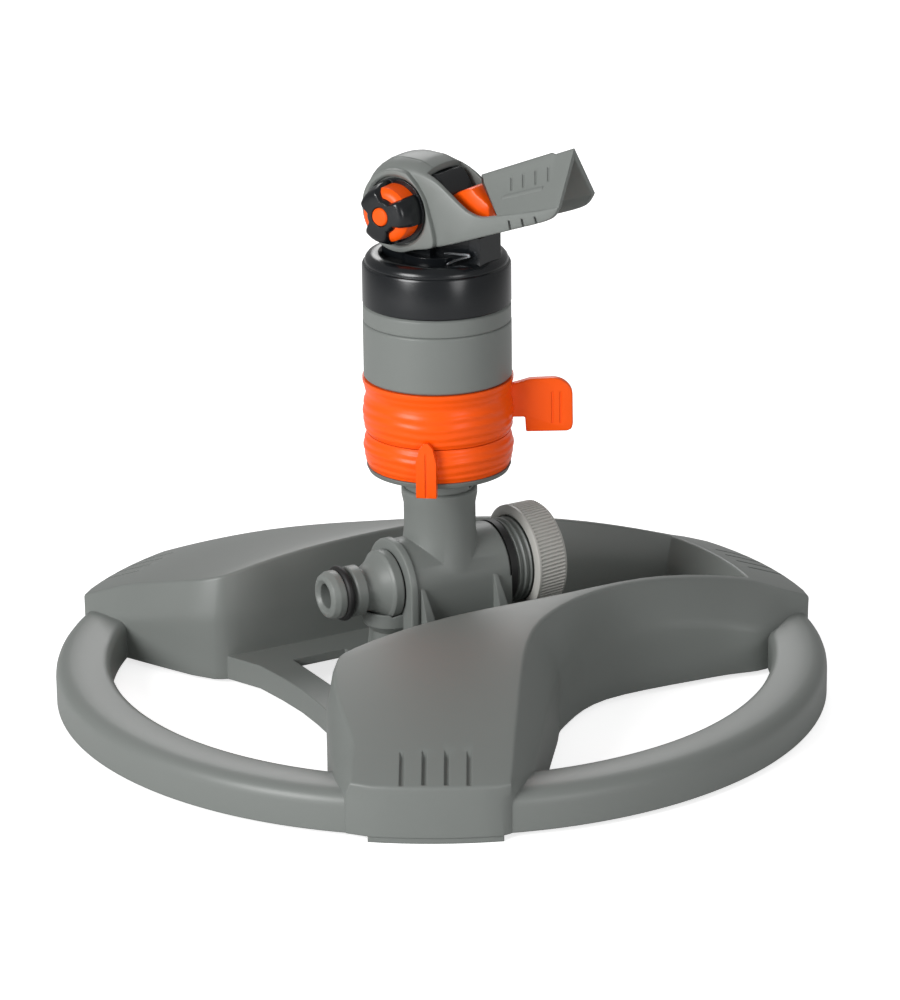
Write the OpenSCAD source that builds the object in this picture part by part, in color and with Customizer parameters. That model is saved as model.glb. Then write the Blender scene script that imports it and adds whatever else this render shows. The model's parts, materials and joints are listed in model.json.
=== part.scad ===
// Turbine sprinkler on a ring base: a geared, water-driven head that turns on a fixed turret.
// Millimetres. +Z is up, the origin is on the turret axis at the ground, -X is the hose inlet.

/* [Base] */
// Outer diameter of the base ring
base_d = 268; // [250:1:300]
// Width of the ring beside the openings
ring_w = 19; // [14:0.5:24]
// Height of the ring's top
ring_h = 16; // [14:0.5:20]
// Gap under the ring, where only the feet touch the ground
foot_h = 2; // [1:0.5:4]
// How far the three foot blocks stand out of the ring
block_out = 2; // [1:0.5:4]
// Height of the domed top at the rim of a foot block
rim_h = 19.5; // [18:0.5:24]
// Height of the domed top at the crests beside the hub
crest_h = 45; // [40:0.5:52]
// Clear width of the recess that holds the tee
recess_w = 86; // [80:1:96]
// Width of the crest beside the recess
crest_w = 5; // [4:0.5:8]
// Height of the floor that the tee stands on
floor_h = 10.5; // [9:0.5:13]
// Wall of the base moulding
base_wall = 3; // [2:0.25:4]
// Half angle of a side foot block at its rim
block_a = 9.3; // [7:0.1:11]

/* [Tee and inlet] */
// Height of the tee's horizontal axis
tee_z = 42.7; // [40:0.1:50]
// Outer diameter of the tee's horizontal tube
tee_d = 30; // [28:0.5:34]
// Outer diameter of the tee's upright stem
stem_d = 24.8; // [23:0.2:28]
// Height of the stem's top rim
stem_top = 75; // [70:0.5:85]
// Bore of the tee's horizontal tube
tee_bore = 20; // [16:0.5:21]
// Bore of the upright stem
stem_bore = 19.2; // [16:0.2:20]
// Half length of the tee's plain tube on the inlet side
tee_in = 20; // [18:0.5:24]
// Length of the tee's plain tube on the outlet side
tee_out = 20; // [18:0.5:24]
// Length of the outlet thread
thread_l = 17; // [14:0.5:20]
// Outer diameter of the outlet thread
thread_d = 33.2; // [32:0.1:34]
// Visible length of the hose nipple
nipple_l = 25; // [23:0.5:30]
// Diameter of the nipple's nose
nose_d = 16.8; // [16:0.1:17.5]
// Bore of the nipple
nipple_bore = 8.6; // [7:0.1:10]

/* [Outlet cap] */
// Outer diameter of the knurled cap
cap_d = 38.4; // [37:0.2:42]
// Length of the knurled cap
cap_l = 13; // [11:0.5:18]
// Number of ribs in the knurl
cap_ribs = 72; // [36:2:90]
// Thread pitch of the cap
cap_pitch = 2.3; // [1.5:0.1:3]

/* [Turret] */
// Outer radius of the turret
turret_r = 25.3; // [25:0.1:28]
// Height of the cup's underside
cup_z = 81; // [79:0.5:90]
// Height where the lower sector ring starts
ring1_z = 83.5; // [83:0.5:94]
// Height of the lower sector ring
ring1_h = 12.1; // [11:0.1:15]
// Height of the upper sector ring
ring2_h = 19.4; // [18:0.1:24]
// Height of the grey gear housing above the rings
housing_h = 19.9; // [18:0.1:26]
// Height of the collar above the gear housing
collar_h = 6.3; // [5:0.1:9]
// Height of the black cap's wall
rotor_h = 13.8; // [12:0.1:18]

/* [Gear train] */
// Height of the cassette's case
cassette_h = 33; // [31:0.5:34]
// Outer diameter of the hollow spindle
spindle_d = 18; // [15:0.5:18]
// Module of the gear teeth
gear_m = 0.55; // [0.5:0.01:0.56]
// Teeth on each pinion
pinion_n = 12; // [12:1:14]
// Teeth on each wheel
wheel_n = 24; // [22:1:24]
// Width of a gear's teeth
gear_w = 2.5; // [2:0.1:2.6]
// Vanes on the turbine wheel
vane_n = 12; // [8:1:14]

/* [Head] */
// Direction of the jet, seen from above
jet_az = -65; // [-180:1:180]
// Height of the hood's pivot
pivot_z = 174.2; // [172:0.2:180]
// Outer radius of the hood's round cheeks
cheek_r = 15; // [14:0.1:17]
// Distance between the cheeks' outer faces
hood_w = 26; // [25:0.5:30]
// Rise of the jet above level
jet_rise = 22; // [15:1:26]
// Bore of the nozzle
nozzle_bore = 4.6; // [3:0.1:6]

/* [Fits] */
// Radial gap of a part that turns in another
run_gap = 0.08; // [0.04:0.01:0.1]
// Gap between faces that slide past each other
face_gap = 0.15; // [0.1:0.05:0.3]
// Radial gap of a part that is seated in another
seat_gap = 0.03; // [0.02:0.01:0.05]

/* [Hidden] */
$fn = 96;

grey = "#6f716f";
black = "#17181a";
orange = "#ff6214";
silver = "#b9b8b4";
steel = "#b4b8bc";
cream = "#dcd8cc";
rubber = "#101010";

ring_r = base_d / 2;
rim_r = ring_r + block_out;
crest_y = recess_w / 2 + crest_w;
crest_r = recess_w / 2;

function pol(r, a) = [r * cos(a), r * sin(a)];
function unit(v) = v / norm(v);
function last(p) = p[len(p) - 1];
function flip(p) = [for (i = [len(p) - 1 : -1 : 0]) p[i]];
function arc(r, a0, a1, n) = [for (i = [0 : n]) pol(r, a0 + (a1 - a0) * i / n)];

// A smooth curve through the points p, with n steps on each stretch.
function smooth(p, n) = concat(
    [for (i = [0 : len(p) - 2], k = [0 : n - 1])
        let (a = p[max(i - 1, 0)], b = p[i], c = p[i + 1], d = p[min(i + 2, len(p) - 1)], t = k / n)
        b + 0.5 * t * ((c - a) + t * ((2 * a - 5 * b + 4 * c - d) + t * (3 * b - a - 3 * c + d)))],
    [last(p)]);

// The outline p, which runs anticlockwise, moved inwards by t.
function inset(p, t) = [for (i = [0 : len(p) - 1])
    let (n = len(p), b = p[i], u = unit(b - p[(i + n - 1) % n]), v = unit(p[(i + 1) % n] - b),
        nu = [-u.y, u.x], nv = [-v.y, v.x], m = unit(nu + nv))
    b + m * t / max(0.5, m * nu)];

module both_sides() {
    children();
    mirror([0, 1, 0]) children();
}

module tube(r1, r0, h) {
    difference() {
        cylinder(r = r1, h = h);
        translate([0, 0, -1]) cylinder(r = r0, h = h + 2);
    }
}

// An O-ring of section radius c on a circle of radius r.
module o_ring(r, c) {
    rotate_extrude() translate([r, 0]) circle(r = c, $fn = 32);
}

module turned(points) {
    rotate_extrude() polygon(points);
}

// The height of the domed top at a distance r from the axis.
dome_bend = 1.5;
function dome_z(r) = rim_h + (crest_h - rim_h)
    * (1 - pow(max(r - crest_r, 0) / (rim_r - crest_r), dome_bend));

module dome(t) {
    far = rim_r + 6;
    steps = 9;
    turned(concat([[0, -2], [far, -2]],
        [for (i = [0 : steps]) let (r = far + (crest_r - far) * i / steps) [r, dome_z(r) - t]],
        [[0, crest_h - t]]));
}

// Half outline of the arches at the height of the domed top, for +Y.
front_a = 12;
front_in_r = ring_r - 21;
ridge_side = [pol(rim_r - 0.4, front_a + 0.3), [ring_r - 24.5, crest_y - 18.5],
    [ring_r - 47, crest_y - 14.5], [42, crest_y - 4.5], [14, crest_y + 6.5],
    pol(ring_r - 64, 94.6), pol(ring_r - 28, 105.6), pol(rim_r - 0.4, 120 - block_a - 0.3)];
ridge_end = [pol(rim_r - 0.4, 120 + block_a + 0.3), [-80, 84.3], [-74.6, 64.7], [-68.5, 50]];
ridge_corner = [[-64.5, recess_w / 2 + 2.5], [-57, recess_w / 2]];
ridge_inner = [[-20, recess_w / 2], [25, recess_w / 2], [70, recess_w / 2 - 9.5]];
function ridge_line() = concat(arc(rim_r, 1.5, front_a, 3), smooth(ridge_side, 4),
    arc(rim_r, 120 - block_a, 120 + block_a, 6), smooth(ridge_end, 2), ridge_corner, ridge_inner,
    flip(arc(front_in_r, 1.5, 12.8, 3)));

// The same outline at the height of the ring's top, point for point.
foot_side = [pol(ring_r, front_a + 6), [ring_r - 30, crest_y], [ring_r - 50, crest_y - 3.3],
    [43, crest_y - 1.5], [17.5, crest_y + 9], pol(ring_r - 63.4, 87.2), pol(ring_r - 29, 101.3),
    pol(ring_r, 106.5)];
foot_end = [pol(ring_r, 133.8), [-86.5, 83], [-78.5, 65], [-72, 51]];
foot_corner = [[-67, recess_w / 2 + 0.5], [-58, recess_w / 2 - 1.5]];
foot_inner = [[-20, recess_w / 2 - 1.5], [25, recess_w / 2 - 1.5], [69, recess_w / 2 - 11]];
function foot_line() = concat(arc(rim_r, 1.5, front_a, 3), smooth(foot_side, 4),
    arc(rim_r, 120 - block_a, 120 + block_a, 6), smooth(foot_end, 2), foot_corner, foot_inner,
    flip(arc(front_in_r - 1.5, 1.5, 12.8, 3)));

// The whole outline of a half that lies at +Y.
function whole(p) = concat(p, flip([for (v = p) [v.x, -v.y]]));

// Half outline of the hub: the floor between the crests and the low band on the inlet side.
hub_line = [[front_in_r + 1, 1], pol(front_in_r + 1, 12.5), [70, recess_w / 2 - 9],
    [25, recess_w / 2 + 1], [-58, recess_w / 2 + 1], [-68, 52], [-62.1, 39.8], [-57.1, 27.3],
    [-55.6, 13], [-55, 1]];
// The slot between the low band and the tee.
slot_x0 = -44.5;
slot_x1 = -24;
slot_y = 26.5;

// Share of the way from the foot line to the ridge line at which the walls stand.
wall_at = 0.4;

module arches(t) {
    low = t > 0 ? -1 : foot_h;
    top = crest_h + 6;
    a = foot_line();
    b = ridge_line();
    p = inset(whole([for (i = [0 : len(a) - 1]) a[i] + (b[i] - a[i]) * wall_at]), t);
    intersection() {
        translate([0, 0, low]) linear_extrude(top - low) polygon(p);
        rotate([0, 0, 200]) dome(t);
    }
}

module ring(t) {
    r1 = ring_r - t;
    r0 = ring_r - ring_w + t;
    top = ring_h - t;
    low = t > 0 ? -1 : foot_h;
    turned([[r0, low], [r1, low], [r1, top - 3], [r1 - 0.9, top - 1.2], [r1 - 2.8, top - 0.3],
        [(r0 + r1) / 2, top], [r0 + 1.6, top - 0.4], [r0, top - 1.8]]);
}

module hub(t) {
    low = t > 0 ? -1 : foot_h;
    translate([0, 0, low]) linear_extrude(floor_h - t - low) polygon(inset(whole(hub_line), t));
}

module base_foot() {
    for (a = [0, 120, 240]) rotate([0, 0, a - block_a])
        rotate_extrude(angle = 2 * block_a)
            polygon([[rim_r - 4.5, 0], [rim_r - 0.4, 0], [rim_r - 0.4, foot_h + 0.01],
                [rim_r - 0.4 - 4.1, foot_h + 0.01]]);
}

screw_xy = [for (x = [-14, 14], y = [-9.5, 9.5]) [x, y]];
boss_r = 4;
screw_r = 1.5;
screw_head_r = 3.4;
screw_head_h = 2.2;
screw_l = 16;

module base() {
    color(grey) difference() {
        union() {
            arches(0);
            ring(0);
            hub(0);
            base_foot();
        }
        difference() {
            union() {
                arches(base_wall);
                ring(base_wall);
                hub(base_wall);
            }
            translate([slot_x0 - base_wall, -slot_y - base_wall, foot_h])
                cube([slot_x1 - slot_x0 + 2 * base_wall, 2 * (slot_y + base_wall), floor_h]);
        }
        translate([slot_x0, -slot_y, -1]) cube([slot_x1 - slot_x0, 2 * slot_y, floor_h + 20]);
        for (p = screw_xy) translate([p.x, p.y, floor_h - base_wall - 1])
            cylinder(r = screw_r + 0.4, h = base_wall + 2, $fn = 32);
    }
}

// Four screws hold the tee to the base from below.
module base_screws() {
    color(steel) for (p = screw_xy) translate([p.x, p.y, floor_h - base_wall]) {
        translate([0, 0, -screw_head_h]) difference() {
            cylinder(r = screw_head_r, h = screw_head_h, $fn = 32);
            translate([0, 0, -0.01]) cylinder(r = 1.4, h = 1.2, $fn = 6);
        }
        cylinder(r = screw_r, h = screw_l - screw_head_h, $fn = 32);
    }
}

tee_r = tee_d / 2;
tee_wall = 2.5;
thread_end = tee_out + thread_l;
neck_r = 12;
spigot_r = stem_bore / 2 - seat_gap;
spigot_l = 14;

thread_root = thread_d / 2 - 2.8;
boss_top = tee_z - 12.7;

module tee_outside() {
    // Horizontal tube with its outlet thread
    translate([-tee_in, 0, tee_z]) rotate([0, 90, 0]) cylinder(r = tee_r, h = tee_in + tee_out);
    translate([tee_out - 0.01, 0, tee_z]) rotate([0, 90, 0]) cylinder(r = thread_root, h = thread_l);
    for (i = [0 : 5]) translate([tee_out + 3.2 + i * cap_pitch, 0, tee_z]) rotate([0, 90, 0])
        cylinder(r = thread_d / 2 - 1.6, h = 1);
    // End flange that goes down to the base
    translate([-tee_in, 0, tee_z]) rotate([0, 90, 0]) cylinder(r = tee_r + 0.8, h = 3);
    translate([-tee_in, -tee_r - 0.8, floor_h]) cube([3, tee_d + 1.6, tee_z - floor_h]);
    // Pedestal under the tube
    translate([-tee_in + 1, -tee_r, floor_h]) cube([tee_in + tee_out - 1, tee_d, tee_z - floor_h]);
    // Half round boss under the nipple
    translate([-tee_in, 0, floor_h]) intersection() {
        cylinder(r = 8, h = boss_top - floor_h);
        translate([-10, -10, 0]) cube([10.5, 20, boss_top - floor_h]);
    }
    // Gussets on both sides
    both_sides() for (x = [-9, tee_out - 6]) translate([x, tee_r - 1, floor_h]) rotate([90, 0, 90])
        linear_extrude(2.4) polygon([[0, 0], [9, 0], [1.8, 18], [0, 20]]);
    // Upright stem with its rim
    translate([0, 0, tee_z]) turned([[0, 0], [stem_d / 2, 0], [stem_d / 2, stem_top - tee_z - 6],
        [stem_d / 2 + 0.7, stem_top - tee_z - 2.5], [stem_d / 2 + 0.7, stem_top - tee_z - 0.6],
        [stem_d / 2, stem_top - tee_z], [0, stem_top - tee_z]]);
}

module tee_body() {
    color(grey) difference() {
        tee_outside();
        translate([-tee_in - 10, 0, tee_z]) rotate([0, 90, 0])
            cylinder(r = tee_bore / 2, h = tee_in + thread_end + 20);
        translate([0, 0, tee_z]) cylinder(r = stem_bore / 2, h = stem_top);
        // The pedestal is open below, with a wall round it and four screw bosses
        difference() {
            translate([-tee_in + 3.5, -tee_r + tee_wall, floor_h - 1])
                cube([tee_in + tee_out - 3.5 - tee_wall, tee_d - 2 * tee_wall,
                    tee_z - tee_bore / 2 - tee_wall - floor_h + 1]);
            for (p = screw_xy) translate([p.x, p.y, floor_h - 2])
                cylinder(r = boss_r, h = 30, $fn = 32);
        }
        for (p = screw_xy) translate([p.x, p.y, floor_h - 1])
            cylinder(r = screw_r + 0.05, h = screw_l - 2, $fn = 32);
    }
}

nose_r = nose_d / 2;
nipple_spigot_l = 10;
flange_r = 12.2;
flange_t = 3;

// Hose nipple: the profile of a click-on hose connector.
module inlet_nipple() {
    b = nipple_bore / 2;
    l = nipple_l;
    s = tee_bore / 2 - seat_gap;
    color(grey) translate([-tee_in - face_gap - 0.6, 0, tee_z]) rotate([0, -90, 0]) turned(concat(
        [[b, -nipple_spigot_l], [s, -nipple_spigot_l], [s, 0], [flange_r, 0], [flange_r, flange_t],
        [flange_r - 0.8, flange_t + 0.8]],
        smooth([[flange_r - 1.2, flange_t + 1], [8.6, flange_t + 4.2], [7.3, flange_t + 7.5]], 4),
        [[7.3, l - 14], [8.8, l - 13], [8.8, l - 9.6], [8.2, l - 9], [nose_r - 1.7, l - 8.2],
        [nose_r - 1.7, l - 5], [nose_r, l - 5], [nose_r, l - 2.6], [nose_r - 0.9, l - 0.7],
        [nose_r - 2.2, l], [b + 1.2, l], [b, l - 1.2]]));
}

module nipple_o_ring() {
    c = 1.45;
    color(rubber) translate([-tee_in - face_gap - 0.6 - nipple_l + 6.6, 0, tee_z])
        rotate([0, 90, 0]) o_ring(nose_r - 1.7 + c, c);
}

// Flat gasket between the nipple's flange and the tee.
module nipple_gasket() {
    color(rubber) translate([-tee_in - face_gap - 0.6, 0, tee_z]) rotate([0, 90, 0])
        tube(flange_r - 0.6, tee_bore / 2 + 0.1, 0.6 + face_gap);
}

module outlet_seal() {
    color(rubber) translate([tee_out, 0, tee_z]) rotate([0, 90, 0])
        tube(tee_r + 0.2, thread_root + seat_gap, 2.4);
}

washer_t = 2;
cap_in_r = thread_d / 2 - 1.5;

module cap_washer() {
    color(rubber) translate([thread_end, 0, tee_z]) rotate([0, 90, 0])
        tube(cap_in_r - 0.1, 6, washer_t);
}

// Knurled cap that closes the outlet.
module outlet_cap() {
    r = cap_d / 2;
    end = thread_end + washer_t + 2.6;
    x = end - cap_l;
    color(silver) translate([x, 0, tee_z]) rotate([0, 90, 0]) difference() {
        union() {
            turned([[0, 0], [r - 0.9, 0], [r - 0.5, 0.8], [r - 0.5, cap_l - 1.4], [r - 1.8, cap_l],
                [0, cap_l]]);
            for (i = [0 : cap_ribs - 1]) rotate([0, 0, i * 360 / cap_ribs])
                translate([r - 1, -0.38, 0.9]) cube([1, 0.76, cap_l - 2.6]);
        }
        translate([0, 0, -1]) cylinder(r = cap_in_r, h = cap_l - 2.6 + 1);
    }
}

seal_c = 1;
strainer_r = 6.4;

module stem_o_ring() {
    color(rubber) translate([0, 0, stem_top - spigot_l + 4]) o_ring(spigot_r - seal_c, seal_c);
}

strainer_l = 11;

// Cone of mesh that keeps grit out of the gears.
module inlet_strainer() {
    r = strainer_r;
    color(cream) translate([0, 0, stem_top - spigot_l + 0.5]) {
        difference() {
            turned([[0, 0], [r, 0], [r, 1.6], [r - 1, 1.6], [2.2, strainer_l], [0, strainer_l]]);
            translate([0, 0, -0.01]) turned([[0, 0], [r - 1, 0], [r - 2, 1.6], [1.2, strainer_l - 1.2],
                [0, strainer_l - 1.2]]);
            for (a = [0 : 45 : 135]) rotate([0, 0, a])
                translate([-10, -0.8, 3]) cube([20, 1.6, strainer_l - 5]);
        }
    }
}

ring2_z = ring1_z + ring1_h;
housing_z = ring2_z + ring2_h;
collar_z = housing_z + housing_h;
rotor_z = collar_z + collar_h;
sleeve_r = turret_r - 2.5;
sleeve_in = sleeve_r - 1.8;
post_r = 4.8;
post_bore = 3.4;
cass_z = ring1_z + 4.5;
cass_floor = 2;
cass_r = sleeve_in - 2.6;
cass_in = cass_r - 1;
post_top = cass_z + cass_floor + 0.6;
cup_floor = ring1_z - cup_z;

// Cup at the foot of the turret: neck, floor and the post that the cassette turns on.
module lower_cup() {
    color(grey) difference() {
        union() {
            turned([[0, stem_top - spigot_l], [spigot_r - 0.6, stem_top - spigot_l],
                [spigot_r, stem_top - spigot_l + 1], [spigot_r, stem_top], [neck_r, stem_top],
                [neck_r, cup_z - 1], [neck_r + 1, cup_z], [turret_r - 3.3, cup_z],
                [turret_r - 1.2, cup_z + 0.8], [turret_r - 0.5, ring1_z - 0.1],
                [turret_r - 0.5, ring1_z], [0, ring1_z]]);
            // Collar that the gear housing's sleeve is seated on
            translate([0, 0, ring1_z - 0.01])
                tube(sleeve_in - seat_gap, sleeve_in - 1.6, cass_z - ring1_z - 0.8);
            translate([0, 0, ring1_z - 0.01]) cylinder(r = post_r, h = post_top - ring1_z);
        }
        translate([0, 0, cup_z]) cylinder(r = post_bore, h = 40);
        translate([0, 0, stem_top - spigot_l - 1]) cylinder(r = strainer_r + seat_gap, h = spigot_l + 5.2);
        turned([[0, stem_top + 4.1], [strainer_r + seat_gap, stem_top + 4.1], [post_bore, cup_z + 0.5],
            [0, cup_z + 0.5]]);
        translate([0, 0, stem_top - spigot_l + 4]) o_ring(spigot_r - seal_c, seal_c + seat_gap);
        // Small window in the neck
        rotate([0, 0, -53]) translate([neck_r - 2, -1.6, stem_top + 0.8]) cube([4, 3.2, 3.6]);
    }
}

lay_c = gear_m * (pinion_n + wheel_n) / 2;
ring_n = 2 * round((lay_c + gear_m * pinion_n / 2) / gear_m);
lay_az = 40;

// Involute gear outline: n teeth of module m, thinned by b at the pitch circle.
function inv_pt(rb, t) = rb * [cos(t) + t * PI / 180 * sin(t), sin(t) - t * PI / 180 * cos(t)];
function roll_at(rb, r) = r <= rb ? 0 : sqrt(pow(r / rb, 2) - 1) * 180 / PI;
function turn(p, a) = [p.x * cos(a) - p.y * sin(a), p.x * sin(a) + p.y * cos(a)];
function gear_line(n, m, b, add, ded) = let (rp = m * n / 2, rb = rp * cos(20), ra = rp + add * m,
        rf = rp - ded * m, r0 = max(rb, rf), tp = roll_at(rb, rp), pp = inv_pt(rb, tp),
        half = 90 / n - b / rp * 90 / PI, off = half + atan2(pp.y, pp.x), foot = min(1, 20 / n),
        side = [for (k = [0 : 4]) let (r = r0 + (ra - r0) * k / 4) inv_pt(rb, roll_at(rb, r))])
    [for (i = [0 : n - 1]) each concat(
        [turn([rf, 0], i * 360 / n - off - foot)],
        [for (p = side) turn(p, i * 360 / n - off)],
        [for (k = [4 : -1 : 0]) turn([side[k].x, -side[k].y], i * 360 / n + off)],
        [turn([rf, 0], i * 360 / n + off + foot)])];

module gear(n, h, tooth_at) {
    rotate([0, 0, tooth_at]) linear_extrude(h) polygon(gear_line(n, gear_m, 0.1, 0.9, 1.2));
}

// Internal ring gear, fixed in the cup. The final drive pinion walks round it.
module fixed_ring_gear() {
    h = cass_z - ring1_z - 1.1;
    color(cream) translate([0, 0, ring1_z]) difference() {
        cylinder(r = sleeve_in - 1.6 - seat_gap, h = h);
        translate([0, 0, -1]) rotate([0, 0, lay_az]) linear_extrude(h + 2)
            polygon(gear_line(ring_n, gear_m, -0.1, 1.2, 0.9));
    }
}

module spigot_seal() {
    color(rubber) translate([0, 0, cass_z - 1]) tube(post_r + 1, post_r + seat_gap, 0.8);
}

dog_t = 2.4;
dog_in = cass_r + 1.7;
dog1_z = ring1_z + 6;
dog2_z = ring2_z + 8;
slot_gap = 0.6;
slot_a = 290;
slot_mid = -80;
lever1_az = 232;
lever2_az = -29;

module dog(az, z) {
    rotate([0, 0, az - 4]) translate([0, 0, z]) rotate_extrude(angle = 8)
        translate([dog_in, 0]) square([sleeve_r + 1 - dog_in, dog_t]);
}

// Wavy side of a sector ring of height h.
function wave_side(h, n) = [for (i = [0 : n * 4]) let (z = 0.6 + (h - 1.2) * i / (n * 4))
    [turret_r - 0.1 + 0.35 * sin(i * 90), z]];

module lower_sector_ring() {
    h = ring1_h - 2 * face_gap;
    color(orange) translate([0, 0, ring1_z + face_gap]) {
        turned(concat([[sleeve_r + run_gap, 0], [turret_r - 0.4, 0]], wave_side(h, 3),
            [[turret_r - 0.6, h], [sleeve_r + run_gap, h]]));
        rotate([0, 0, lever1_az]) {
            translate([turret_r - 1, -3.5, 0]) cube([4.2, 7, h - 0.4]);
            translate([turret_r - 0.2, -3.5, -4]) cube([3.4, 7, 4.5]);
        }
    }
    color(orange) dog(lever1_az, dog1_z);
}

lever_reach = 46;
paddle_w = 17;
paddle_t = 3.2;

module upper_sector_ring() {
    h = ring2_h - 2 * face_gap;
    color(orange) translate([0, 0, ring2_z + face_gap]) {
        turned(concat([[sleeve_r + run_gap, 0], [turret_r - 0.6, 0]], wave_side(h, 5),
            [[turret_r + 0.5, h - 0.4], [turret_r + 0.5, h], [sleeve_r + run_gap, h]]));
        // Thumb lever: an arm and a paddle with a rounded corner
        rotate([0, 0, lever2_az]) translate([0, paddle_t / 2, 0]) rotate([90, 0, 0])
            linear_extrude(paddle_t) polygon(concat(
                [[turret_r - 0.8, 4.6], [lever_reach - paddle_w + 0.5, 4.8],
                [lever_reach - paddle_w + 0.8, 0.4], [lever_reach - 1.5, 0.6], [lever_reach, 2]],
                [[lever_reach, h - 6]],
                [for (a = [15 : 15 : 90]) [lever_reach - 7, h - 6] + [7 * cos(a), 6.4 * sin(a)]],
                [[lever_reach - paddle_w, h + 0.4], [turret_r - 0.8, h - 0.2]]));
    }
    color(orange) dog(lever2_az, dog2_z);
}

shelf_z = cass_z + cassette_h + 4;
shelf_t = 3;
spindle_r = spindle_d / 2;
spindle_bore = 6.5;
bush_r = spindle_r + 1.4;

// Gear housing, whose long sleeve carries both sector rings.
module gear_housing() {
    color(grey) difference() {
        turned([[sleeve_in, ring1_z], [sleeve_r, ring1_z], [sleeve_r, housing_z], [turret_r - 0.6, housing_z],
            [turret_r, housing_z + 0.6], [turret_r, collar_z - 0.5], [turret_r - 0.4, collar_z],
            [sleeve_in, collar_z], [sleeve_in, shelf_z + shelf_t], [bush_r + seat_gap, shelf_z + shelf_t],
            [bush_r + seat_gap, shelf_z], [sleeve_in, shelf_z]]);
        for (z = [dog1_z, dog2_z]) rotate([0, 0, slot_mid - slot_a / 2])
            translate([0, 0, z - slot_gap]) rotate_extrude(angle = slot_a)
                translate([sleeve_in - 1, 0]) square([sleeve_r - sleeve_in + 2, dog_t + 2 * slot_gap]);
    }
}

cover_z = cass_z + cassette_h;
cover_t = 2;

module thrust_washer() {
    color(cream) translate([0, 0, cover_z + cover_t + face_gap])
        tube(spindle_r + 5, spindle_r + run_gap, shelf_z - cover_z - cover_t - 2 * face_gap);
}

module bearing_bush() {
    color(cream) translate([0, 0, shelf_z]) {
        tube(bush_r, spindle_r + run_gap, shelf_t + 2);
        translate([0, 0, shelf_t]) tube(bush_r + 2, spindle_r + run_gap, 1);
    }
}

module shaft_seal() {
    color(rubber) translate([0, 0, shelf_z + shelf_t + 2.05]) difference() {
        tube(spindle_r + 5.5, spindle_r + run_gap, 3.8);
        translate([0, 0, 1.2]) tube(spindle_r + 4, spindle_r + 1.5, 4);
    }
}

// Collar that closes the gear housing.
module housing_collar() {
    lip = 2.2;
    color(grey) turned([[spindle_r + 0.4, collar_z - 1], [spindle_r + 5.7, collar_z - 1],
        [spindle_r + 5.7, collar_z - 6], [sleeve_in - seat_gap, collar_z - 6],
        [sleeve_in - seat_gap, collar_z + 0.02], [turret_r - 0.5, collar_z + 0.02],
        [turret_r - 0.1, collar_z + 0.4], [turret_r - 0.1, rotor_z - 0.8], [turret_r - 0.9, rotor_z],
        [turret_r - lip, rotor_z], [turret_r - lip, collar_z + 2], [spindle_r + 0.4, collar_z + 2]]);
}

journal_r = gear_m * (pinion_n / 2 + 0.9) + 0.1;
pin_r = 1;
plate_z = cass_z + cass_floor + 2.4;
plate_t = 1.2;
train_z = plate_z + plate_t + 0.3;
step_z = gear_w + 0.6;
stator_z = train_z + 3 * step_z + 1.4;
stator_t = 3;
turbine_z = stator_z + stator_t + 1;
turbine_h = 8;
turbine_r = cass_in - 1.2;

module at_layshaft() {
    translate([lay_c * cos(lay_az), lay_c * sin(lay_az), 0]) children();
}

lever_az = 150;
lever_span = 34;
lever_pin_r = 0.5;
lever_c = cass_r + 1.2;
lever_z = dog1_z - 0.6;
lever_h = dog2_z + dog_t - dog1_z + 1.2;
barrel_h = 5;
barrel_z = (dog1_z + dog2_z + dog_t) / 2 - barrel_h / 2;

// Rotating case of the gear cassette.
module cassette_body() {
    ear = 1.4;
    color(black) difference() {
        union() {
            translate([0, 0, cass_z]) cylinder(r = cass_r, h = cover_z - cass_z);
            rotate([0, 0, lever_az]) for (z = [barrel_z - ear - 0.2, barrel_z + barrel_h + 0.2])
                translate([cass_r - 0.5, -1.1, z]) cube([lever_c - cass_r + 1.6, 2.2, ear]);
        }
        translate([0, 0, cass_z + cass_floor]) cylinder(r = cass_in, h = 60);
        translate([0, 0, cass_z - 1]) cylinder(r = post_r + run_gap, h = 10);
        at_layshaft() translate([0, 0, cass_z - 1])
            cylinder(r = journal_r + run_gap, h = 10, $fn = 48);
        rotate([0, 0, lever_az]) translate([lever_c, 0, cass_z])
            cylinder(r = lever_pin_r + 0.02, h = 40, $fn = 24);
    }
}

// Plate with the turbine shaft's lower bearing and windows for the water.
module gear_plate() {
    color(cream) difference() {
        union() {
            translate([0, 0, plate_z]) cylinder(r = cass_in - seat_gap, h = plate_t);
            translate([0, 0, plate_z - 0.8]) cylinder(r = 2.4, h = 0.9, $fn = 32);
            translate([0, 0, cass_z + cass_floor]) tube(cass_in - seat_gap, cass_in - 1.2,
                plate_z - cass_z - cass_floor + 0.01);
        }
        translate([0, 0, plate_z - 2]) cylinder(r = pin_r + run_gap, h = 6, $fn = 32);
        at_layshaft() translate([0, 0, plate_z - 1]) cylinder(r = journal_r + 0.4, h = 4, $fn = 48);
        for (a = [135 : 45 : 315]) rotate([0, 0, a + lay_az - 45]) translate([9.5, 0, plate_z - 1])
            cylinder(r = 3, h = 4, $fn = 32);
    }
}

// Compound gear on the layshaft pin: a wheel and the pinion that walks round the ring gear.
module final_drive_gear() {
    color(cream) at_layshaft() difference() {
        union() {
            translate([0, 0, train_z]) gear(wheel_n, gear_w, lay_az + 180 + 180 / wheel_n);
            translate([0, 0, cass_z - 0.2]) cylinder(r = journal_r, h = train_z - cass_z + 0.21, $fn = 48);
            translate([0, 0, ring1_z + 0.3]) gear(pinion_n, cass_z - ring1_z - 0.4, lay_az);
        }
        translate([0, 0, ring1_z]) cylinder(r = pin_r + run_gap, h = 40, $fn = 32);
    }
}

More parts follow.
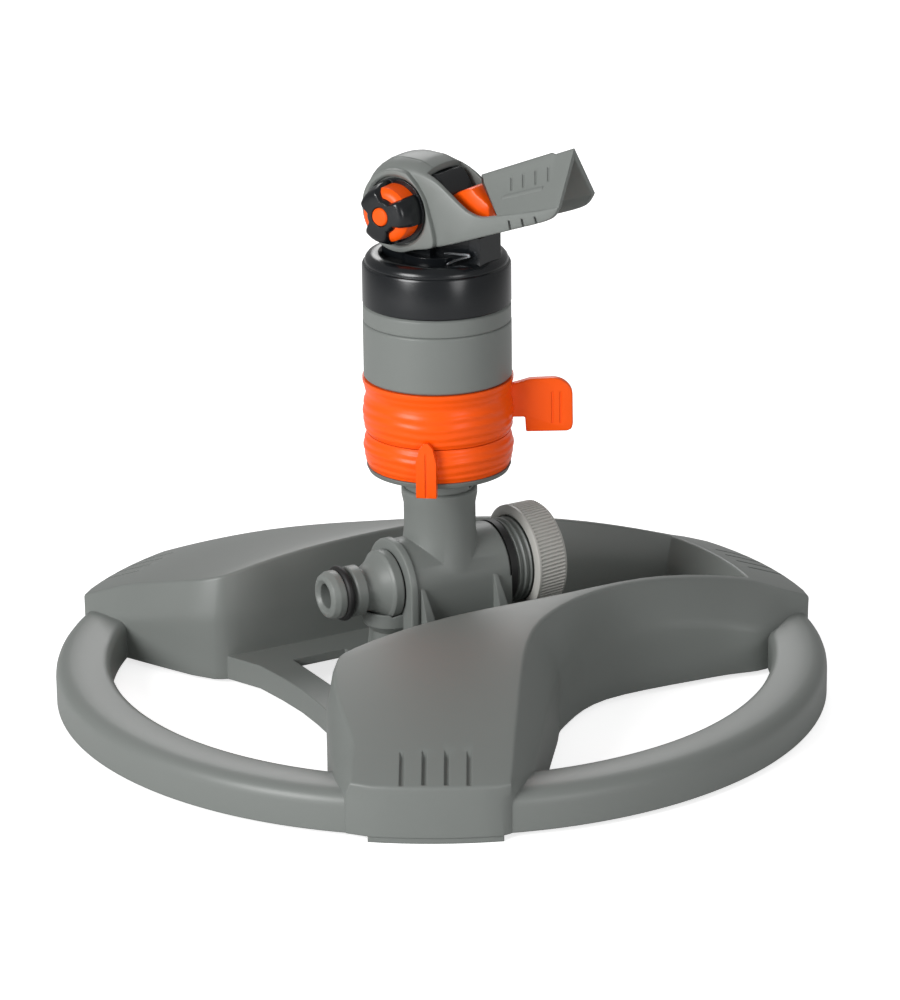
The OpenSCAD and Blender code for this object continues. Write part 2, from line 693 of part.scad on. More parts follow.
module middle_gear() {
    color(cream) difference() {
        union() {
            translate([0, 0, train_z + 0.1]) gear(pinion_n, step_z, lay_az);
            translate([0, 0, train_z + step_z]) gear(wheel_n, gear_w, lay_az);
        }
        translate([0, 0, train_z - 1]) cylinder(r = pin_r + run_gap, h = 40, $fn = 32);
    }
}

module first_gear() {
    color(cream) at_layshaft() difference() {
        union() {
            translate([0, 0, train_z + step_z]) gear(pinion_n, step_z + 0.1, lay_az + 180 + 180 / pinion_n);
            translate([0, 0, train_z + 2 * step_z]) gear(wheel_n, gear_w, lay_az + 180 + 180 / wheel_n);
        }
        translate([0, 0, train_z - 1]) cylinder(r = pin_r + run_gap, h = 40, $fn = 32);
    }
}

module layshaft_pin() {
    color(steel) at_layshaft() translate([0, 0, ring1_z + 0.5])
        cylinder(r = pin_r, h = stator_z + stator_t - ring1_z - 1, $fn = 32);
}

// Guide plate whose slanted ports throw the water at the turbine's vanes.
module stator_plate() {
    color(cream) difference() {
        translate([0, 0, stator_z]) cylinder(r = cass_in - seat_gap, h = stator_t);
        translate([0, 0, stator_z - 1]) cylinder(r = pin_r + run_gap, h = 8, $fn = 32);
        at_layshaft() translate([0, 0, stator_z - 1]) cylinder(r = pin_r + 0.02, h = 8, $fn = 32);
        for (a = [90 : 45 : 360]) rotate([0, 0, a + lay_az - 45])
            translate([13.6, 0, stator_z + stator_t / 2]) rotate([40, 0, 0])
                cube([3.6, 2.6, 12], center = true);
    }
}

module turbine_wheel() {
    color(orange) difference() {
        union() {
            translate([0, 0, turbine_z]) cylinder(r = 5, h = turbine_h);
            translate([0, 0, turbine_z + turbine_h - 1.5]) tube(turbine_r, turbine_r - 1.2, 1.5);
            intersection() {
                for (i = [0 : vane_n - 1]) rotate([0, 0, i * 360 / vane_n])
                    translate([turbine_r / 2 + 1, 0, turbine_z + turbine_h / 2]) rotate([-35, 0, 0])
                        cube([turbine_r, 1, turbine_h * 1.6], center = true);
                translate([0, 0, turbine_z]) cylinder(r = turbine_r - 0.2, h = turbine_h);
            }
        }
        translate([0, 0, turbine_z - 1]) cylinder(r = pin_r + 0.02, h = 20, $fn = 32);
    }
}

// Steel shaft with the turbine's pinion moulded round it.
module turbine_shaft() {
    color(steel) {
        translate([0, 0, plate_z - 0.6])
            cylinder(r = pin_r, h = cover_z + 1.8 - plate_z + 0.6, $fn = 32);
        translate([0, 0, train_z + 2 * step_z + 0.1]) gear(pinion_n, gear_w + 0.2, lay_az);
    }
}

cap_top = rotor_z + rotor_h;
spindle_top = cap_top + 1;

// Lid of the cassette with the hollow spindle that turns the head.
module cassette_cover() {
    color(black) difference() {
        union() {
            translate([0, 0, cover_z]) cylinder(r = cass_r, h = cover_t);
            translate([0, 0, cover_z - 2]) tube(cass_in - seat_gap, cass_in - 1.4, 2.1);
            translate([0, 0, cover_z]) cylinder(r = spindle_r, h = spindle_top - cover_z);
        }
        translate([0, 0, cover_z + 2.2]) cylinder(r = spindle_bore, h = 80);
        translate([0, 0, cover_z - 1]) difference() {
            cylinder(r = spindle_bore, h = 4);
            cylinder(r = 2.4, h = 4, $fn = 32);
            for (a = [0, 60, 120]) rotate([0, 0, a]) translate([-9, -0.9, 0]) cube([18, 1.8, 4]);
        }
        translate([0, 0, cover_z - 2]) cylinder(r = pin_r + run_gap, h = 4.1, $fn = 32);
    }
}

// Lever that trips the reversing gear when it meets a sector ring's dog.
module reversing_lever() {
    color(orange) difference() {
        union() {
            rotate([0, 0, lever_az + 4]) translate([0, 0, lever_z])
                rotate_extrude(angle = lever_span - 4) translate([cass_r + 0.3, 0])
                    square([1, lever_h]);
            rotate([0, 0, lever_az]) {
                translate([lever_c, 0, barrel_z]) cylinder(r = 1, h = barrel_h, $fn = 32);
            }
            rotate([0, 0, lever_az]) translate([0, 0, barrel_z])
                rotate_extrude(angle = 5) translate([cass_r + 0.3, 0]) square([1, barrel_h]);
        }
        rotate([0, 0, lever_az]) translate([lever_c, 0, cass_z])
            cylinder(r = lever_pin_r + run_gap, h = 40, $fn = 24);
    }
}

module lever_pin() {
    color(steel) rotate([0, 0, lever_az]) translate([lever_c, 0, barrel_z - 1.6])
        cylinder(r = lever_pin_r, h = barrel_h + 3.2, $fn = 24);
}

// Black cap that turns with the head.
module rotor_cap() {
    w = 1.8;
    z = rotor_z + face_gap + 0.05;
    top = cap_top;
    r = turret_r;
    color(black) turned([[r - w, z], [r - 0.3, z], [r, z + 0.4], [r, top - 4.2], [r - 0.9, top - 2.6],
        [r - 0.9, top - 1.6], [r - 1.7, top - 0.3], [r - 2.6, top + 0.7], [r - 4, top + 1],
        [spindle_r + seat_gap, top + 1],
        [spindle_r + seat_gap, rotor_z - 2], [spindle_r + 2, rotor_z - 2], [spindle_r + 2, top - 1],
        [r - 6, top - 0.3], [r - w, top - 2.4]]);
}

jet_x = -7.2;
hub_r = 9.4;
bracket_w = 16;
nozzle_r = 5;
nozzle_l = 15;
cap_face = cap_top + 1;

module at_head() {
    rotate([0, 0, jet_az]) children();
}

// Placed at the pivot, looking along the jet.
module at_jet() {
    at_head() translate([jet_x, 0, pivot_z]) rotate([0, 90 - jet_rise, 0]) children();
}

// Placed at the pivot, looking along its axis towards the knob.
module at_pivot() {
    at_head() translate([jet_x, 0, pivot_z]) rotate([90, 0, 0]) children();
}

pivot_gap = 0.3;
hood_t = 3.6;
hood_in = hood_w / 2 - hood_t;

// Black bracket on the cap: it carries the nozzle and the hood, and has a post in front.
module head_bracket() {
    color(black) difference() {
        union() {
            at_head() translate([0, 0, cap_face]) cylinder(r = 11.5, h = 3);
            at_head() translate([-17, -bracket_w / 2, cap_face])
                cube([20, bracket_w, pivot_z - cap_face]);
            at_pivot() translate([0, 0, -bracket_w / 2]) cylinder(r = hub_r + 0.6, h = bracket_w);
            at_pivot() translate([0, 0, -hood_in + pivot_gap])
                cylinder(r = hub_r - 1.4, h = 2 * (hood_in - pivot_gap));
            at_head() translate([17.8, -6, cap_face + 0.6]) cube([4.6, 12, 11]);
            at_head() translate([0, -5, cap_face]) cube([20, 10, 2.4]);
        }
        at_jet() cylinder(r = nozzle_r + seat_gap, h = 30);
        at_head() translate([0, 0, cap_face - 1]) cylinder(r = 4.5, h = 3);
        at_head() translate([jet_x / 2, 0, cap_face + 1])
            cylinder(r = 4, h = pivot_z - cap_face - 2);
        at_pivot() translate([0, 0, -20]) cylinder(r = 3 + run_gap, h = 40, $fn = 48);
    }
}

module nozzle_tube() {
    color(black) at_jet() translate([0, 0, 4.5]) difference() {
        union() {
            cylinder(r = nozzle_r, h = nozzle_l);
            translate([0, 0, nozzle_l - 8]) tube(nozzle_r + 1.2, nozzle_r - 0.5, 3);
        }
        translate([0, 0, -1]) cylinder(r = nozzle_r - 1.6, h = nozzle_l + 2);
    }
}

module nozzle_o_ring() {
    color(rubber) at_jet() translate([0, 0, hub_r + 1.35]) o_ring(nozzle_r + 0.75, 0.7);
}

module nozzle_insert() {
    r = nozzle_r - 1.6 - seat_gap;
    color(orange) at_jet() translate([0, 0, 4.5 + nozzle_l - 7]) difference() {
        union() {
            cylinder(r = r, h = 7.1);
            translate([0, 0, 7.05]) cylinder(r = nozzle_r + 1, h = 3.2);
        }
        translate([0, 0, -1]) cylinder(r = nozzle_bore / 2, h = 14, $fn = 48);
    }
}

// Bent wire that clicks the hood's position.
module hood_spring() {
    wire = 0.6;
    color(steel) at_head() for (y = [-4, 4]) translate([12.8, y, cap_face + 3.05]) {
        rotate([0, 38, 0]) cylinder(r = wire, h = 5.4, $fn = 16);
        translate([0, 0, -0.2]) cylinder(r = wire, h = 6, $fn = 16);
        rotate([y > 0 ? 90 : -90, 0, 0]) cylinder(r = wire, h = 4.2, $fn = 16);
    }
}

arm_line = [[-1, 161.5], [7.4, 163.5], [20.5, 167.4], [31.5, 171.5], [45.5, 176.8], [54, 179.6],
    [55.8, 181.4], [54.6, 183.8], [45.6, 181.5], [28, 176.8], [19, 178.5], [16.4, 182],
    [14.8, 185.6], [12, 186.9], [7, 188.3], [3, 189], [-7.2, 189.2]];
arm_out = 11;

// Side plates of the hood between the inner and the outer faces y0 and y1.
module hood_side(y0, y1) {
    at_head() translate([0, y1, 0]) rotate([90, 0, 0]) linear_extrude(y1 - y0) polygon(arm_line);
}

module deflector_panel() {
    t = 1.8;
    far = [56.6, 0, 202.4];
    near = [19.2, 0, 187];
    at_head() both_sides() hull() {
        translate(near) translate([0, -0.01, -t]) cube([0.5, 0.02, t]);
        translate(far) translate([0, -0.01, -t]) cube([0.5, 0.02, t]);
        translate([58, arm_out - 0.4, 185]) cube([0.5, 0.8, t]);
        translate([30, arm_out - 0.4, 177]) cube([0.5, 0.8, t]);
    }
}

// Grey hood: round cheeks, roof, arms and the roof-shaped deflector in front.
module deflector_hood() {
    r = cheek_r;
    recess_r = 11.8;
    color(grey) difference() {
        union() {
            difference() {
                union() {
                    at_pivot() translate([0, 0, -hood_w / 2]) cylinder(r = r, h = hood_w);
                    hood_side(-arm_out, arm_out);
                }
                at_head() translate([-60, -hood_in, pivot_z - 30]) cube([140, 2 * hood_in, 30 - 0.1]);
                at_pivot() translate([0, 0, -hood_in]) cylinder(r = r - 2, h = 2 * hood_in);
                // The roof is open towards the jet
                at_head() translate([-4, -hood_in + 0.8, pivot_z - 10]) cube([90, 2 * hood_in - 1.6, 40]);
            }
            deflector_panel();
        }
        at_pivot() translate([0, 0, hood_w / 2 - 1.6]) cylinder(r = recess_r, h = 3);
        for (i = [0 : 2]) at_head() translate([36 + i * 5.6, -20, 176.2 + i * 1.9])
            rotate([0, -16, 0]) cube([1.2, 40, 2.6]);
        at_pivot() translate([0, 0, -hood_w / 2 - 1]) cylinder(r = 3 + run_gap, h = hood_w + 2, $fn = 48);
    }
}

// Pin on the side away from the knob.
module hood_pivot_pin() {
    color(steel) at_pivot() translate([0, 0, -hood_w / 2 - 0.05]) {
        cylinder(r = 3, h = 9, $fn = 48);
        translate([0, 0, -1.2]) cylinder(r = 5, h = 1.2, $fn = 48);
    }
}

// Spindle of the range knob, with its flow pin.
module range_spindle() {
    color(black) at_pivot() translate([0, 0, 0.5])
        cylinder(r = 3, h = hood_w / 2 + 4, $fn = 48);
}

knob_z = hood_w / 2 - 1.4;
knob_h = 10;
knob_r = 11.2;
knob_core = 6.2;
lobe_n = 3;
lobe_r = 3.6;
lobe_a = 12;
disc_t = 1;
button_r = 3.1;

// Outline of the grip, made larger by g.
module grip_outline(g) {
    circle(r = knob_core + g);
    for (i = [0 : lobe_n - 1]) rotate(lobe_a + i * 360 / lobe_n) {
        translate([3, -lobe_r - g]) square([knob_r - lobe_r - 3, 2 * (lobe_r + g)]);
        translate([knob_r - lobe_r, 0]) circle(r = lobe_r + g, $fn = 48);
    }
}

// Three-lobed black grip.
module range_knob() {
    color(black) at_pivot() translate([0, 0, knob_z + disc_t]) difference() {
        union() {
            linear_extrude(knob_h - 1.2) grip_outline(0);
            translate([0, 0, knob_h - 1.21]) linear_extrude(1.21) grip_outline(-0.8);
        }
        translate([0, 0, -1]) cylinder(r = 3 + seat_gap, h = knob_h - 3.5, $fn = 48);
        translate([0, 0, knob_h - 2]) cylinder(r = button_r, h = 3, $fn = 48);
    }
}

// Orange disc under the grip, which comes up between its lobes.
module knob_insert() {
    color(orange) at_pivot() translate([0, 0, knob_z]) difference() {
        union() {
            cylinder(r = knob_r - 0.2, h = disc_t - face_gap);
            cylinder(r = knob_r - 1.6, h = knob_h - 1.4);
        }
        translate([0, 0, disc_t - face_gap]) linear_extrude(knob_h) grip_outline(seat_gap);
        translate([0, 0, -1]) cylinder(r = 3 + seat_gap, h = 4, $fn = 48);
    }
}

// Round orange button in the middle of the grip.
module knob_button() {
    color(orange) at_pivot() translate([0, 0, knob_z + disc_t + knob_h - 2])
        cylinder(r = button_r - seat_gap, h = 2.6, $fn = 48);
}

base();
base_screws();
tee_body();
inlet_nipple();
nipple_o_ring();
nipple_gasket();
outlet_seal();
cap_washer();
outlet_cap();
stem_o_ring();
inlet_strainer();
lower_cup();
fixed_ring_gear();
spigot_seal();
lower_sector_ring();
upper_sector_ring();
gear_housing();
thrust_washer();
bearing_bush();
shaft_seal();
housing_collar();
cassette_body();
gear_plate();
final_drive_gear();
middle_gear();
first_gear();
layshaft_pin();
stator_plate();
turbine_wheel();
turbine_shaft();
cassette_cover();
reversing_lever();
lever_pin();
rotor_cap();
head_bracket();
nozzle_tube();
nozzle_o_ring();
nozzle_insert();
hood_spring();
deflector_hood();
hood_pivot_pin();
range_knob();
knob_insert();
knob_button();
range_spindle();
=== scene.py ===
import json
import math

import bmesh
import bpy
from bpy.props import FloatProperty, IntProperty, PointerProperty, StringProperty
from mathutils import Matrix, Vector
from mathutils.geometry import delaunay_2d_cdt


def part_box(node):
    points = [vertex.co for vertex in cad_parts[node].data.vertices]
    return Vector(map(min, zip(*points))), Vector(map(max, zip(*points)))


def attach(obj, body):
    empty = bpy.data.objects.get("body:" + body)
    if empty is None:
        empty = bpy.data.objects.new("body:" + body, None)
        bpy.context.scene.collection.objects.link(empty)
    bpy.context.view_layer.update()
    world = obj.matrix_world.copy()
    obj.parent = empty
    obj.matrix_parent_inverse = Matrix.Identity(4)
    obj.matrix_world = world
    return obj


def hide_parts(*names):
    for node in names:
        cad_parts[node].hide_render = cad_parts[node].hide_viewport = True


bl_info = {
    "name": "Turbine sprinkler",
    "version": (1, 0, 0),
    "blender": (4, 5, 0),
    "location": "View3D > Sidebar > Sprinkler",
    "description": "Dresses the packed sprinkler and lights it on a pale floor",
    "category": "Object",
}

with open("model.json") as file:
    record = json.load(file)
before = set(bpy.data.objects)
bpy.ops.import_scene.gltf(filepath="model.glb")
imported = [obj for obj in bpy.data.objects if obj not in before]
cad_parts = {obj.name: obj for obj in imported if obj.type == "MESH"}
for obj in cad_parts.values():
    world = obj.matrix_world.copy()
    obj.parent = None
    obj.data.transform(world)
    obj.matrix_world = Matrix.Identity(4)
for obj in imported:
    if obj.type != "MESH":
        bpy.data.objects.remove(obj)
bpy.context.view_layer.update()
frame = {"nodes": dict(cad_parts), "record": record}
MM = 0.001


def box_mm(node):
    """Lowest and highest corner of a CAD node, in millimetres."""
    low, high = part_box(node)
    return low / MM, high / MM


# ---------------------------------------------------------------- colours and materials

def linear(hex_code, alpha=1.0):
    """A linear colour from an sRGB hex code such as #6f716f."""
    parts = [int(hex_code[i:i + 2], 16) / 255 for i in (1, 3, 5)]
    return tuple(c / 12.92 if c <= 0.04045 else ((c + 0.055) / 1.055) ** 2.4 for c in parts) + (alpha,)


def add(tree, kind, links=(), **settings):
    """Adds one node with its settings, and links (input, from_node, output) to it."""
    node = tree.nodes.new(kind)
    for name, value in settings.items():
        if name in node.inputs:
            node.inputs[name].default_value = value
        elif name.replace("_", " ") in node.inputs:
            node.inputs[name.replace("_", " ")].default_value = value
        else:
            setattr(node, name, value)
    for socket, source, output in links:
        tree.links.new(source.outputs[output], node.inputs[socket])
    return node


def empty_tree(block):
    """The node tree of a material or world, with nothing in it."""
    block.use_nodes = True
    block.node_tree.nodes.clear()
    return block.node_tree


def moulded(name, hex_code, roughness, grain_mm=0.0, grain=0.0, edge_mm=0.25, shade=0.0, gloss=0.5):
    """Injection-moulded plastic: flat colour, a faint cloudiness, spark-eroded grain and soft edges."""
    material = bpy.data.materials.new(name)
    tree = empty_tree(material)
    out = add(tree, "ShaderNodeOutputMaterial")
    shader = add(tree, "ShaderNodeBsdfPrincipled", Roughness=roughness, IOR=1.5)
    shader.inputs["Base Color"].default_value = linear(hex_code)
    shader.inputs["Specular IOR Level"].default_value = gloss
    tree.links.new(shader.outputs["BSDF"], out.inputs["Surface"])
    place = add(tree, "ShaderNodeTexCoord")
    if shade:
        cloud = add(tree, "ShaderNodeTexNoise", [("Vector", place, "Object")], Scale=28.0, Detail=2.0)
        ramp = add(tree, "ShaderNodeValToRGB", [("Fac", cloud, "Fac")])
        for stop, gain in zip(ramp.color_ramp.elements, (1 - shade, 1 + shade)):
            stop.color = [min(c * gain, 1.0) for c in linear(hex_code)[:3]] + [1.0]
        tree.links.new(ramp.outputs["Color"], shader.inputs["Base Color"])
    rim = add(tree, "ShaderNodeBevel", Radius=edge_mm * MM, samples=6)
    normal = rim
    if grain:
        noise = add(tree, "ShaderNodeTexNoise", [("Vector", place, "Object")],
                    Scale=1 / (grain_mm * MM), Detail=1.0)
        normal = add(tree, "ShaderNodeBump", [("Height", noise, "Fac"), ("Normal", rim, "Normal")],
                     Strength=grain, Distance=0.1 * MM)
    tree.links.new(normal.outputs["Normal"], shader.inputs["Normal"])
    return material


def metal(name, hex_code, roughness):
    """Bare drawn steel: a metal's own colour with a tight, slightly brushed gloss."""
    material = bpy.data.materials.new(name)
    material.use_nodes = True
    shader = material.node_tree.nodes["Principled BSDF"]
    shader.inputs["Base Color"].default_value = linear(hex_code)
    shader.inputs["Metallic"].default_value = 1.0
    shader.inputs["Roughness"].default_value = roughness
    return material


class SprinklerColours(bpy.types.PropertyGroup):
    """Colours of the mouldings, as sRGB hex codes."""
    grey: StringProperty(name="Grey", description="Base, tee, turret and hood", default="#767a77")
    black: StringProperty(name="Black", description="Cap, bracket and knob", default="#101316")
    orange: StringProperty(name="Orange", description="Sector rings and insets", default="#ff5a08")
    silver: StringProperty(name="Silver grey", description="Outlet cap", default="#b4b3ae")
    cream: StringProperty(name="Natural", description="Gears and washers", default="#dcd8cc")
    steel: StringProperty(name="Steel", description="Pins, screws and spring", default="#c3c7cb")


def make_materials(c):
    """One material for each finish."""
    return {
        # ABS from a finely eroded mould: satin with a barely visible grain
        "grey_plastic": moulded("Moulded grey ABS", c.grey, 0.42, 0.5, 0.10, 0.7, 0.03),
        # Polished mould: the same resin with a clear gloss
        "black_plastic": moulded("Glossy black ABS", c.black, 0.24, edge_mm=0.3),
        "orange_plastic": moulded("Moulded orange ABS", c.orange, 0.32, 0.6, 0.04, 0.3, 0.0, 0.25),
        "silver_plastic": moulded("Silver-grey acetal", c.silver, 0.42, 0.5, 0.10, 0.2, 0.02),
        "natural_plastic": moulded("Natural acetal", c.cream, 0.4, edge_mm=0.1),
        # Rubber: dark, with a wide dull sheen
        "black_rubber": moulded("Black nitrile rubber", "#141414", 0.55, edge_mm=0.1),
        "steel": metal("Drawn steel", c.steel, 0.25),
    }


MATERIALS = {}


def dress(slot, *nodes):
    """Gives CAD nodes the material of their slot."""
    for name in nodes:
        piece = frame["nodes"][name]
        piece.data.materials.clear()
        piece.data.materials.append(MATERIALS[slot])


def finish_piece(name, mesh, slot, body, *nodes, angle=32):
    """Puts a mesh in the scene as a piece that rides on a body and stands for CAD nodes."""
    mesh.name = name
    mesh.materials.clear()
    mesh.materials.append(MATERIALS[slot])
    for p in mesh.polygons:
        p.use_smooth = True
    mesh.set_sharp_from_angle(angle=math.radians(angle))
    piece = bpy.data.objects.new(name, mesh)
    bpy.context.scene.collection.objects.link(piece)
    if nodes:
        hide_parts(*nodes)
    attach(piece, body)
    return piece


# ---------------------------------------------------------------- shapes, in millimetres

def clamp(t):
    """t, kept between 0 and 1."""
    return min(max(t, 0), 1)


def ease(t):
    """From 0 to 1, slow at both ends."""
    return t * t * (3 - 2 * t)


def between(a, b, t):
    """The number at t of the way from a to b."""
    return a + (b - a) * t


def pol(r, a):
    """The point at a radius and an angle in degrees."""
    return Vector((r * math.cos(math.radians(a)), r * math.sin(math.radians(a))))


def arc(r, a0, a1, n):
    """n + 1 points on a circle, between two angles."""
    return [pol(r, a0 + (a1 - a0) * i / n) for i in range(n + 1)]


def smooth(points, n):
    """A smooth curve through the points, n steps on each stretch."""
    line = []
    for i in range(len(points) - 1):
        a, b = points[max(i - 1, 0)], points[i]
        c, d = points[i + 1], points[min(i + 2, len(points) - 1)]
        a, b, c, d = Vector(a), Vector(b), Vector(c), Vector(d)
        for k in range(n):
            t = k / n
            bend = (2 * a - 5 * b + 4 * c - d) + t * (3 * b - a - 3 * c + d)
            line.append(b + 0.5 * t * ((c - a) + t * bend))
    return line + [Vector(points[-1])]


def whole(half):
    """The closed outline of a half that lies at +Y."""
    half = [Vector(p) for p in half]
    return half + [Vector((p.x, -p.y)) for p in reversed(half)]


def rectangle(x0, y0, x1, y1):
    """The corners of a rectangle, anticlockwise."""
    return [(x0, y0), (x1, y0), (x1, y1), (x0, y1)]


def clearance(line, i):
    """How far a corner of the outline is from the far side of it."""
    n, p = len(line), line[i]
    best = 1e9
    for k in range(i + 4, i + n - 4):
        a, b = line[k % n], line[(k + 1) % n]
        t = clamp((p - a).dot(b - a) / max((b - a).length_squared, 1e-9))
        best = min(best, (a + (b - a) * t - p).length)
    return best


def inset(line, most, share=0.45):
    """The outline, which runs anticlockwise, moved inwards, and less where it is narrow."""
    moved = []
    for i, b in enumerate(line):
        t = min(most, share * clearance(line, i)) if most > 0 else most
        u = (b - line[i - 1]).normalized()
        v = (line[(i + 1) % len(line)] - b).normalized()
        nu, nv = Vector((-u.y, u.x)), Vector((-v.y, v.x))
        m = (nu + nv).normalized()
        moved.append(b + m * t / max(0.5, m.dot(nu)))
    # Where a tight corner would turn inside out, its points close up in their old order
    for i in list(range(len(line))) * 12:
        a, b = moved[i - 1], moved[i]
        ahead = (line[i] - line[i - 1]).normalized()
        if (b - a).dot(ahead) < 0.01:
            moved[i - 1], moved[i] = (a + b) / 2 - ahead * 0.01, (a + b) / 2 + ahead * 0.01
    return moved


def bezier(a, b, c, n):
    """n + 1 points on the curve from a to c that bends towards b."""
    return [a * (1 - t) ** 2 + b * 2 * t * (1 - t) + c * t * t for t in (i / n for i in range(n + 1))]


def turn(degrees, axis="Z", rows=4):
    """A matrix that turns about an axis."""
    return Matrix.Rotation(math.radians(degrees), rows, axis)


def move(x, y, z):
    """A matrix that moves by millimetres."""
    return Matrix.Translation(Vector((x, y, z)) * MM)


def to_mesh(bm, name="mesh"):
    """A mesh in metres from a bmesh in millimetres, with its normals outwards."""
    bmesh.ops.remove_doubles(bm, verts=bm.verts, dist=1e-4)
    bmesh.ops.delete(bm, geom=[e for e in bm.edges if not e.link_faces], context="EDGES")
    bmesh.ops.recalc_face_normals(bm, faces=bm.faces)
    bmesh.ops.scale(bm, vec=(MM, MM, MM), verts=bm.verts)
    mesh = bpy.data.meshes.new(name)
    bm.to_mesh(mesh)
    bm.free()
    return mesh


def temp(mesh):
    """A helper object for a boolean."""
    helper = bpy.data.objects.new("helper", mesh)
    bpy.context.scene.collection.objects.link(helper)
    return helper


def plain(helper):
    """The evaluated mesh of a helper object, which goes."""
    bpy.context.view_layer.update()
    mesh = bpy.data.meshes.new_from_object(helper.evaluated_get(bpy.context.evaluated_depsgraph_get()))
    bpy.data.objects.remove(helper)
    return mesh


def combine(operation, first, others):
    """Adds the other meshes to the first, cuts them out of it, or keeps what they share."""
    for other in others:
        body, tool = temp(first), temp(other)
        step = body.modifiers.new("step", "BOOLEAN")
        step.operation, step.object, step.solver = operation, tool, "MANIFOLD"
        first = plain(body)
        bpy.data.objects.remove(tool)
    return first


def union(first, others):
    """The first mesh with the others added."""
    return combine("UNION", first, others)


def cut(first, others):
    """The first mesh without the room that the others take."""
    return combine("DIFFERENCE", first, others)


def close_round(bm, columns, gap=0):
    """Faces between neighbouring columns of vertices, and from the last column to the first. A gap of 1
    leaves the ends of the columns open."""
    n, m = len(columns), len(columns[0])
    for i in range(n):
        for k in range(m - gap):
            a, b = columns[i], columns[(i + 1) % n]
            bm.faces.new((a[k], b[k], b[(k + 1) % m], a[(k + 1) % m]))


def revolve(profile, n=128, axis="Z", at=(0, 0, 0)):
    """Turns a closed (r, z) profile round an axis."""
    bm = bmesh.new()
    close_round(bm, [[bm.verts.new((r * math.cos(2 * math.pi * i / n), r * math.sin(2 * math.pi * i / n), z))
                      for r, z in profile] for i in range(n)])
    bmesh.ops.dissolve_degenerate(bm, dist=1e-5, edges=bm.edges)
    if axis == "X":
        bmesh.ops.rotate(bm, verts=bm.verts, matrix=turn(90, "Y", 3))
    bmesh.ops.translate(bm, verts=bm.verts, vec=at)
    return to_mesh(bm)


def rod(r, a, b, n=32, axis="Z", at=(0, 0, 0)):
    """A plain round rod from a to b along its axis."""
    return revolve([(0, a), (r, a), (r, b), (0, b)], n, axis, at)


def pushed(outline, by):
    """A bmesh solid: a flat outline, pushed along a vector."""
    bm = bmesh.new()
    face = bm.faces.new([bm.verts.new(p) for p in outline])
    far = bmesh.ops.extrude_face_region(bm, geom=[face])["geom"]
    bmesh.ops.translate(bm, verts=[g for g in far if isinstance(g, bmesh.types.BMVert)], vec=by)
    return bm


def prism(outline, z0, z1):
    """Straight prism on a plan outline."""
    return to_mesh(pushed([(p[0], p[1], z0) for p in outline], (0, 0, z1 - z0)))


def plate(outline, thick, azimuth, soft=0.0, shift=0.0):
    """An upright plate: an (r, z) outline, its thickness, the azimuth that it points to, the radius of its
    edges, and how far it stands to the side of the axis."""
    bm = pushed([(r, shift - thick / 2, z) for r, z in outline], (0, thick, 0))
    if soft:
        bmesh.ops.recalc_face_normals(bm, faces=bm.faces)
        bmesh.ops.bevel(bm, geom=list(bm.edges), offset=soft, segments=3, profile=0.5, affect="EDGES",
                        clamp_overlap=True)
    bmesh.ops.rotate(bm, verts=bm.verts, matrix=turn(azimuth, "Z", 3))
    return to_mesh(bm)


def front_prism(outline, r0, r1, azimuth):
    """A prism between two radii on an outline seen from outside: sideways and up."""
    bm = pushed([(r0, u, z) for u, z in outline], (r1 - r0, 0, 0))
    bmesh.ops.rotate(bm, verts=bm.verts, matrix=turn(azimuth, "Z", 3))
    return to_mesh(bm)


def stack(rings):
    """Skins closed rings of points, one above the other, with a face on each end."""
    bm = bmesh.new()
    loops = [[bm.verts.new(p) for p in ring] for ring in rings]
    n = len(loops[0])
    for a, b in zip(loops, loops[1:]):
        for i in range(n):
            bm.faces.new((a[i], a[(i + 1) % n], b[(i + 1) % n], b[i]))
    bm.faces.new(list(reversed(loops[0])))
    bm.faces.new(loops[-1])
    return to_mesh(bm)


# ---------------------------------------------------------------- the base

class SprinklerBase(bpy.types.PropertyGroup):
    """Sizes of the ring base, in millimetres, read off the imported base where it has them."""
    ring_r: FloatProperty(name="Ring radius", description="Outer radius of the ring", default=134.0)
    ring_w: FloatProperty(name="Ring width", description="Width beside the openings", default=19.0)
    ring_h: FloatProperty(name="Ring height", description="Top of the ring", default=16.0)
    foot_h: FloatProperty(name="Foot height", description="Gap under the ring", default=2.0)
    rim_h: FloatProperty(name="Rim height", description="Top of a block at its rim", default=19.5)
    crest_h: FloatProperty(name="Crest height", description="Top of the crests", default=45.0)
    recess_w: FloatProperty(name="Recess width", description="Width between the crests", default=86.0)
    floor_h: FloatProperty(name="Floor height", description="Floor under the tee", default=10.5)
    wall: FloatProperty(name="Wall", description="Thickness of the moulding", default=3.0)
    edge: FloatProperty(name="Edge", description="Softness of the upper edges", default=1.0)
    break_low: FloatProperty(name="Break at the rim", description="Height where the wall starts to lean",
                             default=16.0)
    break_high: FloatProperty(name="Break at the hub", description="The same, beside the hub", default=24.5)
    groove_w: FloatProperty(name="Groove width", description="Width of a grip groove", default=1.5)
    groove_pitch: FloatProperty(name="Groove pitch", description="Distance of the grip grooves", default=7.2)


BLOCKS = (0, 120, 240)  # azimuths of the three blocks
BLOCK_A = 9.3           # half angle of a block at its rim, in degrees
FRONT_A = 12.0          # half angle of the block under the outlet


